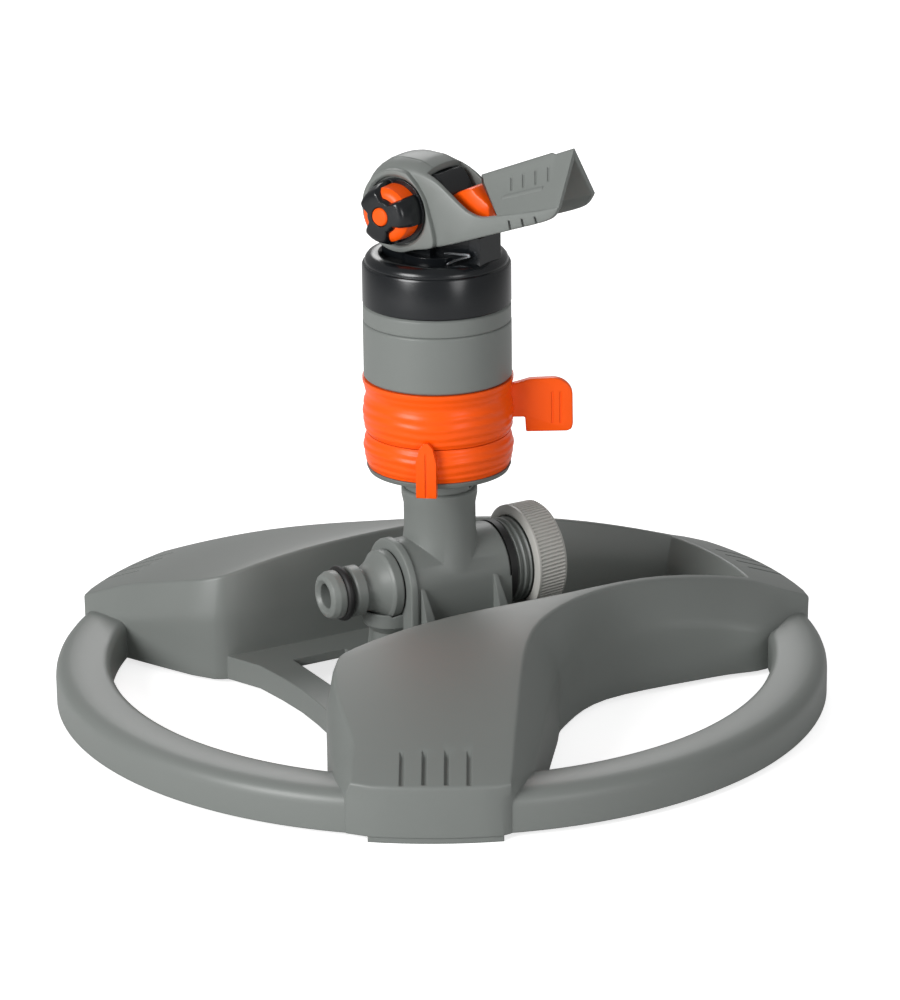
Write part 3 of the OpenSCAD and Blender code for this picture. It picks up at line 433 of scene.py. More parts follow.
def arch_lines(b):
    """The outlines of the arches at the ring's height and at the top, point for point."""
    corner, past = 0.5, 2.1  # degrees that a block's corner takes to turn, and that its wall keeps to the rim
    rim, ring, crest, recess = b.ring_r + 2, b.ring_r, b.recess_w / 2 + 5, b.recess_w / 2
    front_in, near_rim = ring - 21, rim - 0.4 - past * 0.2
    before, after = 120 - BLOCK_A, 120 + BLOCK_A  # the side block
    front_rim = arc(rim, 1.5, FRONT_A - corner, 3)
    side_rim = arc(rim, before + corner, after - corner, 6)
    ridge = (front_rim
             + smooth([pol(near_rim, FRONT_A + 0.3 + past), pol(ring - 10, FRONT_A + 1 + past),
                       (ring - 24.5, crest - 19.5 + past * 0.4), (ring - 47, crest - 14.8), (42, crest - 4.6),
                       (14, crest + 6.3), pol(ring - 64, 94.6), pol(ring - 28, 105.6), pol(ring - 9, 108.4),
                       pol(near_rim, before - 0.3 - past * 0.4)], 5)
             + side_rim
             + smooth([pol(near_rim, after + 0.3 + past), pol(ring - 9, 131.2 + past * 0.7), (-80, 84.3),
                       (-74.6, 64.7), (-68.5, 50)], 3)
             + smooth([(-64.5, recess + 2.5), (-57, recess), (-20, recess), (25, recess), (70, recess - 9.5),
                       (105, 26.5)], 4)
             + arc(front_in, 12.8, 1.5, 3))
    foot = (front_rim
            + smooth([pol(ring + 0.4, FRONT_A + 1 + past), pol(ring - 8, FRONT_A + 5 + past * 0.5),
                      (ring - 30, crest - 0.5), (ring - 50, crest - 3.3), (41, crest - 4.6), (16, crest + 9),
                      pol(ring - 63.4, 86.0), pol(ring - 29, 101.0), pol(ring - 8, 106.6),
                      pol(ring + 0.4, before - 1)], 5)
            + side_rim
            + smooth([pol(ring + 0.4, after + 1 + past), pol(ring - 8, 133.6 + past * 0.6), (-86.5, 83),
                      (-78.5, 65), (-72, 51)], 3)
            + smooth([(-67, recess + 0.5), (-58, recess - 2.5), (-20, recess - 2.5), (25, recess - 2.5),
                      (69, recess - 12), (104, 24.5)], 4)
            + arc(front_in - 2.5, 12.8, 1.5, 3))
    return whole(foot), whole(ridge)


def dome_height(b, r):
    """Height of the domed top of the blocks and crests at a radius."""
    crest, rim = b.recess_w / 2, b.ring_r + 2
    return b.rim_h + (b.crest_h - b.rim_h) * (1 - (max(r - crest, 0) / (rim - crest)) ** 1.5)


def break_height(b, r):
    """Height at which the walls start to lean, at a radius."""
    return b.break_low + (b.break_high - b.break_low) * ease(clamp((b.ring_r - 6 - r) / 50))


def shell_solid(foot, ridge, low, break_z, top_z, edge, t=0.0, cell=6.0):
    """A solid whose walls stand on the foot line, lean to the ridge line and end in a soft edge, under the
    surface top_z. t moves all of it inwards."""
    a, b = (inset(foot, t, 0.3), inset(ridge, t, 0.3)) if t else (foot, ridge)
    c = inset(b, edge, 0.35)
    bm = bmesh.new()
    columns = []
    for p, q, s in zip(a, b, c):
        lower = Vector((p.x, p.y, min(break_z(p.length), top_z(q.length) - 2) - t))
        upper = Vector((q.x, q.y, top_z(q.length) - t))
        inner = Vector((s.x, s.y, top_z(s.length) - t))
        lean = (upper - lower).length
        start = lower - Vector((0, 0, 2.5))
        up1 = lower.lerp(upper, min(0.4, 2.5 / lean))
        up2 = upper.lerp(lower, min(0.5, edge / lean))
        column = [Vector((p.x, p.y, low))] + bezier(start, lower, up1, 3) + bezier(up2, upper, inner, 5)
        columns.append([bm.verts.new(v) for v in column])
    n = len(columns)
    close_round(bm, columns, 1)
    bm.faces.new([col[0] for col in reversed(columns)])
    # The top follows top_z on a net of points inside the last ring
    ring = [Vector((col[-1].co.x, col[-1].co.y)) for col in columns]
    span = [(min(p[k] for p in ring), max(p[k] for p in ring)) for k in (0, 1)]
    inside = inset(ring, 2.0)
    net, row = [], 0
    y = span[1][0]
    while y < span[1][1]:
        x = span[0][0] + (cell / 2 if row % 2 else 0)
        while x < span[0][1]:
            if within(x, y, inside):
                net.append(Vector((x, y)))
            x += cell
        y += cell * 0.866
        row += 1
    points, _, faces, origins, _, _ = delaunay_2d_cdt(ring + net, [], [list(range(n))], 1, 1e-5)
    verts = [columns[o[0]][-1] if o and o[0] < n else bm.verts.new((p.x, p.y, top_z(p.length) - t))
             for p, o in zip(points, origins)]
    for f in faces:
        try:
            bm.faces.new([verts[i] for i in f])
        except ValueError:
            pass
    return to_mesh(bm)


def within(x, y, line):
    """True where a point lies inside the closed outline."""
    odd = False
    for i, p in enumerate(line):
        q = line[i - 1]
        if (p.y > y) != (q.y > y) and x < (q.x - p.x) * (y - p.y) / (q.y - p.y) + p.x:
            odd = not odd
    return odd


def ring_solid(b, t=0.0):
    """The ring between the blocks, with a crowned top and rounded edges."""
    r1, r0, top = b.ring_r - t, b.ring_r - b.ring_w + t, b.ring_h - t
    low = -1 if t else b.foot_h
    outer = bezier(Vector((r1, top - 5.5)), Vector((r1, top - 0.9)), Vector((r1 - 5.5, top - 0.2)), 6)
    inner = bezier(Vector((r0 + 3, top - 0.5)), Vector((r0, top - 0.8)), Vector((r0, top - 3.5)), 4)
    return revolve([(r0, low), (r1, low)] + outer + [((r0 + r1) / 2, top)] + inner, 180)


def hub_line(b):
    """Outline of the floor between the crests."""
    front, recess = b.ring_r - 20, b.recess_w / 2
    return whole([(front, 1), pol(front, 12.5), (70, recess - 9), (25, recess + 1), (-58, recess + 1),
                  (-68, 52), (-62.1, 39.8), (-57.1, 27.3), (-55.6, 13), (-55, 1)])


def foot_solid(b, angle):
    """The low foot under a block."""
    r1, r0 = b.ring_r + 1.6, b.ring_r - 2.5
    line = arc(r1, angle - BLOCK_A, angle + BLOCK_A, 8) + arc(r0, angle + BLOCK_A, angle - BLOCK_A, 8)
    return prism(line, 0, b.foot_h + 0.5)


class SPRINKLER_OT_base(bpy.types.Operator):
    """The moulded base: ring, three blocks, arches, crests and the floor under the tee"""
    bl_idname = "sprinkler.base"
    bl_label = "Base"

    def execute(self, context):
        b = context.scene.sprinkler_base
        foot, ridge = arch_lines(b)
        dome, bend = (lambda r: dome_height(b, r)), (lambda r: break_height(b, r))
        line = hub_line(b)
        w = b.wall
        slot = rectangle(-44.5, -26.5, -24, 26.5)
        outside = union(shell_solid(foot, ridge, b.foot_h, bend, dome, b.edge),
                        [ring_solid(b), prism(line, b.foot_h, b.floor_h)]
                        + [foot_solid(b, a) for a in BLOCKS])
        inside = union(shell_solid(foot, ridge, -1, bend, dome, 1.0, w, 12.0),
                       [ring_solid(b, w), prism(inset(line, w), -1, b.floor_h - w)])
        cuts = [inside, prism(slot, -2, b.floor_h + 20)]
        # The grip grooves are 1.1 mm deep and run over the rim
        far, near, deep = b.ring_r + 0.5, b.ring_r - 14.5, 1.1
        radii = [near + (far - near) * i / 6 for i in range(7)]
        profile = [(r, dome_height(b, r) - (deep if r > near else 0)) for r in radii]
        profile += [(far + 3, b.rim_h + 12), (near, b.crest_h)]
        for block in BLOCKS:
            for k in (-1.5, -0.5, 0.5, 1.5):
                cuts.append(plate(profile, b.groove_w, block, shift=k * b.groove_pitch))
        mesh = cut(outside, cuts)
        finish_piece("base_moulding", mesh, "grey_plastic", "turret", "base", angle=27)
        return {"FINISHED"}


# ---------------------------------------------------------------- the sector rings

class SprinklerRings(bpy.types.PropertyGroup):
    """Sizes of the two sector rings, in millimetres."""
    bulge: FloatProperty(name="Rib depth", description="Height of the wavy ribs", default=0.13)
    pitch: FloatProperty(name="Rib pitch", description="Distance of the wavy ribs", default=3.1)
    sway: FloatProperty(name="Sway", description="How far the ribs wander up and down", default=0.35)
    waves: IntProperty(name="Waves", description="Waves in a turn", default=5)
    finger_w: FloatProperty(name="Finger width", description="Width of the lower finger", default=6.9)
    drop: FloatProperty(name="Lever drop", description="How far the thumb lever sits down", default=1.9)


def wavy_ring(profile, r_in, s, ribs, n=180):
    """A ring with an outer (r, z) profile and wandering ribs between two heights."""
    low, high, steps = profile[0][1], profile[-1][1], 44
    bm = bmesh.new()
    rings = []
    for i in range(n):
        a = 2 * math.pi * i / n
        column = [bm.verts.new((r_in * math.cos(a), r_in * math.sin(a), low))]
        for k in range(steps + 1):
            z = low + (high - low) * k / steps
            r = profile_at(profile, z)
            fade = clamp(min(z - ribs[0], ribs[1] - z) / 1.2)
            r += s.bulge * fade * math.sin(2 * math.pi * (z + s.sway * math.sin(s.waves * a)) / s.pitch)
            column.append(bm.verts.new((r * math.cos(a), r * math.sin(a), z)))
        column.append(bm.verts.new((r_in * math.cos(a), r_in * math.sin(a), high)))
        rings.append(column)
    close_round(bm, rings)
    return to_mesh(bm)


def profile_at(profile, z):
    """Radius of an (r, z) profile at a height, eased between its points."""
    for (r0, z0), (r1, z1) in zip(profile, profile[1:]):
        if z <= z1:
            return r0 + (r1 - r0) * ease((z - z0) / max(z1 - z0, 1e-6))
    return profile[-1][0]


RING_BORE = 22.88
DOG = (20.1, 23.6)        # the radii between which a ring's dog reaches in
LOWER_DOG = (89.5, 91.9)  # and its heights
UPPER_DOG = (103.6, 106)
LOWER_FINGER_AZ = 232.0
UPPER_LEVER_AZ = -29.0


def dog(heights, azimuth):
    """The small block inside a ring that trips the reversing lever."""
    (r0, r1), (z0, z1) = DOG, heights
    return plate(rectangle(r0, z0, r1, z1), 3.0, azimuth)


class SPRINKLER_OT_rings(bpy.types.Operator):
    """The two orange sector rings with their ribs, the finger and the thumb lever"""
    bl_idname = "sprinkler.rings"
    bl_label = "Sector rings"

    def execute(self, context):
        s = context.scene.sprinkler_rings
        z0, z1 = box_mm("gear_housing")[0].z + 0.15, box_mm("upper_sector_ring")[0].z - 0.3
        profile = [(24.3, z0), (25.1, z0 + 2.2), (25.7, z0 + 7), (25.5, z1 - 3.4), (24.6, z1)]
        ring = wavy_ring(profile, RING_BORE, s, (z0 + 1.4, z1 - 1.0))
        side = plate([(25.2, z1 - 0.6), (25.2, z0 + 0.4), (25.45, z0 + 0.2), (25.45, z0 - 4), (28.1, z0 - 4),
                      (28.5, z0 - 3), (28.3, z1 - 1), (27.4, z1 + 4), (26.15, z1 + 4), (26.15, z1 - 0.6)],
                     8.0, LOWER_FINGER_AZ)
        half = s.finger_w / 2
        front = [(-half, z0 - 5), (half, z0 - 5), (half, z1 - 3), (half - 1.2, z1 + 1.6), (0.6, z1 + 3.4),
                 (-0.6, z1 + 3.4), (-half + 1.2, z1 + 1.6), (-half, z1 - 3)]
        finger = combine("INTERSECT", side, [front_prism(front, 20, 32, LOWER_FINGER_AZ)])
        groove = front_prism(rectangle(-0.35, z0 - 6, 0.35, z1 + 2), 28.05, 30, LOWER_FINGER_AZ)
        ring = union(ring, [finger, dog(LOWER_DOG, LOWER_FINGER_AZ)])
        ring = cut(ring, [groove])
        finish_piece("lower_ring_with_finger", ring, "orange_plastic", "lower_ring", "lower_sector_ring")

        z0, z1 = box_mm("upper_sector_ring")[0].z, z1 + 0.3 + 19.1
        profile = [(24.6, z0), (25.4, z0 + 1.8), (25.8, z0 + 6.5), (25.4, z0 + 10.6), (24.7, z0 + 13.6),
                   (25.2, z0 + 16), (25.8, z1 - 1), (25.8, z1)]
        ring = wavy_ring(profile, RING_BORE, s, (z0 + 0.9, z0 + 13.0))
        reach, wide = 46.0, 17.0
        low, high = z0 - s.drop, z1 - s.drop
        corner = [(reach - 7 + 7 * math.cos(math.radians(a)), high - 6 + 6.4 * math.sin(math.radians(a)))
                  for a in range(10, 91, 10)]
        lever = plate([(24.4, low + 5.7), (reach - wide + 0.6, low + 5.7), (reach - wide + 0.9, low + 0.4),
                       (reach - 2.0, low + 0.5), (reach - 0.5, low + 1.2), (reach, low + 3)]
                      + corner + [(reach - wide + 2.5, high + 0.2), (27.5, high - 1), (24.4, high - 1.8)],
                      3.2, UPPER_LEVER_AZ, 0.8)
        cuts = []
        for side in (-1, 1):
            for x in (reach - 7.4, reach - 4.6):
                line = rectangle(x, low + 3.5, x + 0.7, high - 4.5)
                cuts.append(plate(line, 0.8, UPPER_LEVER_AZ, shift=side * 1.75))
        ring = union(ring, [lever, dog(UPPER_DOG, UPPER_LEVER_AZ)])
        ring = cut(ring, cuts)
        finish_piece("upper_ring_with_lever", ring, "orange_plastic", "upper_ring", "upper_sector_ring")
        return {"FINISHED"}


# ---------------------------------------------------------------- the range knob

class SprinklerKnob(bpy.types.PropertyGroup):
    """Sizes of the range knob, in millimetres."""
    reach: FloatProperty(name="Lobe radius", description="Reach of a lobe", default=10.7)
    waist: FloatProperty(name="Waist radius", description="Radius between the lobes", default=6.8)
    height: FloatProperty(name="Height", description="Thickness of the grip", default=10.4)
    turn: FloatProperty(name="Turn", description="Angle of the first lobe, in degrees", default=12.0)
    inset_r: FloatProperty(name="Inset radius", description="Reach of the orange insets", default=9.6)


JET_AZ = -65.0
PIVOT = Vector((-7.2, 0.0, 174.2))


def head_place():
    """From the head's own frame, x along the jet, to the frame of the whole."""
    return turn(JET_AZ)


def pivot_place():
    """From the pivot's frame, z towards the knob and x along the jet, to the frame of the whole."""
    return head_place() @ move(*PIVOT) @ turn(90, "X")


class SPRINKLER_OT_knob(bpy.types.Operator):
    """The three-lobed range knob with its orange insets"""
    bl_idname = "sprinkler.knob"
    bl_label = "Range knob"

    def execute(self, context):
        k = context.scene.sprinkler_knob
        base = 11.6  # the skirt's height over the middle of the hood

        def lobes(scale, z, n=120):
            """The three-lobed outline at a height."""
            ring = []
            for i in range(n):
                a = 2 * math.pi * i / n
                c = math.cos(3 * (a - math.radians(k.turn)))
                r = (k.waist + (k.reach - k.waist) * ease(clamp((c + 0.72) / 0.95))) * scale
                ring.append((r * math.cos(a), r * math.sin(a), z))
            return ring

        top = base + k.height
        body = stack([lobes(1.0, base + 0.5), lobes(1.0, base + 4), lobes(0.98, base + 6),
                      lobes(0.88, top - 1.6), lobes(0.85, top - 0.9), lobes(0.79, top - 0.3),
                      lobes(0.72, top)])
        body = union(body, [rod(11.3, base, base + 0.8, 96)])
        body = cut(body, [rod(3.35, top - 1.6, top + 2, 48)])
        body.transform(pivot_place())
        finish_piece("range_knob_grip", body, "black_plastic", "knob", "range_knob")

        parts = [revolve([(0, top - 2), (3.1, top - 2), (3.1, top - 0.1), (2.7, top + 0.35), (1.4, top + 0.6),
                          (0, top + 0.65)], 48)]
        for i in range(3):
            middle = k.turn + 60 + 120 * i
            rows = []
            for z, r, half in ((base + 0.9, k.inset_r, 30), (top - 3.6, k.inset_r - 0.3, 29),
                               (top - 2.4, k.inset_r - 1.3, 26), (top - 1.9, k.inset_r - 2.8, 22)):
                outer = [pol(r, middle + half * j / 6) for j in range(-6, 7)]
                inner = [pol(4.4, middle + half * j / 6) for j in range(6, -7, -1)]
                rows.append([(p.x, p.y, z) for p in outer + inner])
            parts.append(stack(rows))
        bm = bmesh.new()
        for part in parts:
            bm.from_mesh(part)
        mesh = bpy.data.meshes.new("insets")
        bm.to_mesh(mesh)
        bm.free()
        mesh.transform(pivot_place())
        finish_piece("range_knob_insets", mesh, "orange_plastic", "knob", "knob_insert", "knob_button")
        return {"FINISHED"}


# ---------------------------------------------------------------- the head

class SprinklerHood(bpy.types.PropertyGroup):
    """Sizes of the hood, in millimetres, in the head's own frame with x along the jet."""
    arm_y: FloatProperty(name="Arm", description="Outer face of an arm", default=11.0)
    inner_y: FloatProperty(name="Inside", description="Inner face of an arm", default=9.4)
    cheek_y: FloatProperty(name="Cheek", description="Outer face of a cheek", default=13.0)
    cheek_r: FloatProperty(name="Cheek radius", description="Radius of a cheek", default=14.3)
    recess_r: FloatProperty(name="Recess radius", description="Recess round the knob", default=11.9)
    crown: FloatProperty(name="Crown", description="Rise of the roof between its edges", default=3.3)
    sheet: FloatProperty(name="Sheet", description="Thickness of the deflector", default=1.7)
    foot_y: FloatProperty(name="Panel foot", description="Lower edge of a panel", default=10.6)


def slab(outline_at, stations):
    """Skins side outlines (x, z) at stations y, in the head's own frame."""
    return stack([[(p[0], y, p[1]) for p in outline_at(y)] for y in stations])


def crown(h, y):
    """How far the roof rises at y over its edges."""
    return h.crown * (1 - min(abs(y) / h.arm_y, 1) ** 3)


def hood_side(h, y, grow=0.0):
    """Side outline of the hood at y: the round back, the arm, its tip and the curve up to the roof."""
    pivot = PIVOT.xz
    rise = crown(h, y) - (0.25 if abs(abs(y) - 6) < 0.01 else 0)
    back = []
    for a in range(88, 289, 8):
        fade = clamp((200 - a) / 50)
        back.append(pivot + pol(h.cheek_r + rise * fade, a))
    arm = smooth([(-1, 161.4), (9.6, 163.9), (24.6, 169.1), (39.5, 174.5), (50, 178.3), (54.6, 180.6),
                  (56.8, 183.4), (56.2, 184.6), (48.4, 182.2), (39.6, 179.9), (32.2, 178), (26.4, 176.7),
                  (23.2, 176.9)], 3)
    swell = smooth([(20.3, 177.8), (16.5, 180.2), (12.8, 182.8), (8.4, 185.6), (3.9, 187.3), (-1.4, 188.2)],
                   3)
    swell = [p + Vector((0, rise * clamp((12 - p.x) / 13))) for p in swell]
    return inset(back + arm + swell, grow) if grow else back + arm + swell


def hood_room(h, y):
    """Side outline of the hollow of the hood at y, open below and towards the jet."""
    pivot = PIVOT.xz
    rise = crown(h, y)
    roof = [(3.6, 210), (3.6, 185.2 + rise * 0.7), (-1.5, 186 + rise)]
    roof += [pivot + pol(h.cheek_r - 2 + rise, a) for a in range(75, 181, 7)]
    return [Vector(p) for p in [(64, 150), (64, 210)] + roof + [(-19.7, 174), (-30, 173.5), (-30, 150)]]


def cheek_side(h, grow=0.0):
    """Side outline of the raised pad on a cheek."""
    pivot = PIVOT.xz
    line = [pivot + pol(h.cheek_r, a) for a in range(72, 283, 6)]
    line += smooth([(0.2, 161.7), (6.6, 163.2), (8, 165), (7.4, 169.4), (6, 174.2), (4.1, 179.6), (1, 184.2),
                    (-1.6, 186.8)], 4)
    return inset(line, grow) if grow else line


RIDGE = ((19.0, 187.0), (56.4, 202.2))       # ends of the deflector's ridge, (x, z)
PANEL_FOOT = ((32.8, 177.8), (57.4, 184.8))  # ends of a panel's lower edge


def panel_height(h, x, y):
    """Height of the deflector's upper face over (x, y)."""
    (foot0, low0), (foot1, low1) = PANEL_FOOT
    (top0, high0), (top1, high1) = RIDGE
    u = 1 - abs(y) / h.foot_y
    start, end = between(foot0, top0, u), between(foot1, top1, u)
    t = (x - start) / (end - start)
    return between(between(low0, low1, t), between(high0, high1, t), u)


def deflector(h, steps=30):
    """The two panels, with a fold along the first part of the ridge."""
    foot0, foot1, top0, top1 = (x for x, z in PANEL_FOOT + RIDGE)
    rings = []
    for i in range(steps + 1):
        t = i / steps
        fold = 0.7 * clamp((0.8 - t) * 40)
        upper, lower = [], []
        for u, lift in ((0, 0), (0.45, 0), (0.86, 0), (0.89, fold), (1, fold * 1.2)):
            x = (foot0 * (1 - t) + foot1 * t) * (1 - u) + (top0 * (1 - t) + top1 * t) * u
            y = h.foot_y * (1 - u)
            z = panel_height(h, x, y)
            upper.append((x, y, z + lift))
            lower.append((x, y - (h.sheet * 0.55 if u < 1 else 0), z - h.sheet * (0.6 + 0.6 * u)))
        mirrored = lambda side: [(x, -y, z) for x, y, z in side]
        rings.append(upper + mirrored(upper[-2::-1]) + mirrored(lower) + lower[-2::-1])
    return stack(rings)


def panel_groove(h, x, side):
    """A shallow groove down a panel, which leans forwards on its way."""
    rows = []
    for y, at in ((2.0, x), (5.0, x + 2.1)):
        top = panel_height(h, at, y)
        rows.append([(at + dx, side * y, top + dz) for dx, dz in rectangle(-0.4, -0.5, 0.4, 3)])
    return stack(rows)


class SPRINKLER_OT_hood(bpy.types.Operator):
    """The grey hood: roof, cheeks, arms and the roof-shaped deflector"""
    bl_idname = "sprinkler.hood"
    bl_label = "Deflector hood"

    def execute(self, context):
        h = context.scene.sprinkler_hood
        a = h.arm_y
        grow = {a: 0.7, a - 0.25: 0.2}
        near = [0, 3, 5.7, 6, 6.3, 7.3, 8.6, a - 0.8, a - 0.25, a]
        stations = [-y for y in near[:0:-1]] + near
        shell = slab(lambda y: hood_side(h, y, grow.get(abs(y), 0)), stations)
        pads = []
        for side in (-1, 1):
            rows = ((0, a - 1.5), (0, h.cheek_y - 0.6), (0.2, h.cheek_y - 0.15), (0.7, h.cheek_y))
            pads.append(stack([[(p.x, side * y, p.y) for p in cheek_side(h, g)] for g, y in rows]))
        room = slab(lambda y: hood_room(h, y), [-h.inner_y, -8, -6, -3, 0, 3, 6, 8, h.inner_y])
        shell = cut(union(shell, pads), [room])
        shell = union(shell, [deflector(h)])

        # Three slots through the arm on the knob's side, then the grooves of the panels
        cuts = []
        for (x0, z0), (x1, z1) in (((38.5, 173), (37.6, 177.3)), ((43.7, 175), (42.8, 178.7)),
                                   ((49.0, 177), (48.0, 180.2))):
            cuts.append(stack([[(x0 - 0.5, y, z0), (x0 + 0.5, y, z0), (x1 + 0.4, y, z1), (x1 - 0.4, y, z1)]
                               for y in (-20, -h.inner_y + 0.5)]))
        cuts += [panel_groove(h, x, side) for x in (32.6, 37.3, 42.3, 47.4) for side in (-1, 1)]
        r, face = h.recess_r, h.cheek_y
        recess = revolve([(0, face - 1.7), (r, face - 1.7), (r, face - 0.6), (r + 0.9, face + 0.1),
                          (r + 0.9, face + 4), (0, face + 4)], 96)
        pivot_hole = rod(3.1, -h.cheek_y - 3, h.cheek_y + 3, 48)
        shell.transform(head_place())
        for tool in cuts:
            tool.transform(head_place())
        for tool in (recess, pivot_hole):
            tool.transform(pivot_place())
        shell = cut(shell, cuts + [recess, pivot_hole])
        # A low bead along each panel, below its grooves
        beads = []
        for side in (-1, 1):
            section = rectangle(side * 6.3 - 0.3, -0.4, side * 6.3 + 0.3, 0.3)
            bead = stack([[(x, y, panel_height(h, x, y) + dz) for y, dz in section]
                          for x in range(32, 49, 2)])
            bead.transform(head_place())
            beads.append(bead)
        shell = union(shell, beads)
        finish_piece("deflector_hood_moulding", shell, "grey_plastic", "hood", "deflector_hood", angle=30)
        return {"FINISHED"}


class SPRINKLER_OT_nozzle(bpy.types.Operator):
    """The orange jet insert, the black nozzle box behind it and the bent click spring"""
    bl_idname = "sprinkler.nozzle"
    bl_label = "Nozzle"

    def execute(self, context):
        block = [(9.6, 174.6), (9.4, 178.6), (11, 180.8), (14.8, 182.9), (18.4, 184), (20.4, 182.4),
                 (25, 179.6), (25.6, 177.6), (25.2, 174.6), (19.4, 173.3), (12.6, 173.6)]
        block = smooth(block + [block[0]], 2)[:-1][::-1]
        stations = ((-5.2, 0.9), (-4.9, 0.3), (-4.3, 0.01), (4.3, 0.01), (4.9, 0.3), (5.2, 0.9))
        insert = stack([[(p.x, y, p.y) for p in inset(block, g)] for y, g in stations])
        insert = cut(insert, [rod(2.3, -20, 20, axis="X", at=(22, 0, 177.3))])
        insert.transform(head_place())
        finish_piece("jet_insert", insert, "orange_plastic", "head", "nozzle_insert")

        box = [(-7, 0), (8, 0), (8.2, 7), (7.4, 9.2), (5, 10.6), (1, 11.2), (-4, 11), (-7, 10)]
        housing = stack([[(p.y, y, p.x) for p in inset([Vector(p) for p in box], g)]
                         for y, g in ((-7.6, 0.8), (-7, 0.05), (7, 0.05), (7.6, 0.8))])
        housing.transform(move(*PIVOT) @ turn(-22, "Y") @ move(7.5, 0, 0))
        # The neck that brings the water up from the cap
        housing = union(housing, [prism(rectangle(3, -5, 17.5, 5), 157.2, 172)])
        housing.transform(head_place())
        finish_piece("nozzle_box", housing, "black_plastic", "head", "nozzle_tube")

        wire = smooth([(9.2, 160.8), (10.8, 161.1), (14.5, 161.4), (18.2, 161.7), (18.9, 161.2),
                       (17.6, 160.6), (14.2, 159.2), (11.2, 157.7), (10.4, 157.1)], 4)
        rings = []
        for i, p in enumerate(wire):
            ahead = (wire[min(i + 1, len(wire) - 1)] - wire[max(i - 1, 0)]).normalized()
            out = Vector((-ahead.y, ahead.x))
            section = [Vector((0, -7.6)) + pol(0.6, 36 * k) for k in range(10)]
            rings.append([(p.x + out.x * q.x, q.y, p.y + out.y * q.x) for q in section])
        spring = stack(rings)
        spring.transform(head_place())
        finish_piece("click_spring_wire", spring, "steel", "head", "hood_spring")
        return {"FINISHED"}


class SPRINKLER_OT_cap(bpy.types.Operator):
    """The glossy black cap with its stepped shoulder"""
    bl_idname = "sprinkler.cap"
    bl_label = "Rotor cap"

    def execute(self, context):
        z0 = max(box_mm("rotor_cap")[0].z, box_mm("housing_collar")[1].z + 0.05)
        r, bore = 25.3, 9.03
        shoulder = [(r, 154.4), (r - 0.3, 155.1), (r - 0.9, 155.4), (r - 0.9, 156.0), (r - 1.2, 156.9),
                    (r - 2.0, 157.9), (r - 3.2, 158.5), (r - 4.6, 158.7), (r - 5.6, 158.5), (r - 6.3, 157.8),
                    (r - 6.9, 156.6), (r - 7.9, 156), (bore, 156)]
        skirt = [(bore, z0 + 1), (bore + 2, z0 + 1), (bore + 2, 152.6), (r - 1.8, 152.6), (r - 1.8, z0),
                 (r - 0.3, z0), (r, z0 + 0.4)]
        cap = revolve(skirt + shoulder, 160)
        finish_piece("cap_with_shoulder", cap, "black_plastic", "head", "rotor_cap")
        return {"FINISHED"}


# ---------------------------------------------------------------- the tee and the outlet cap

TEE_Z = 42.7
TEE_R = 15.0


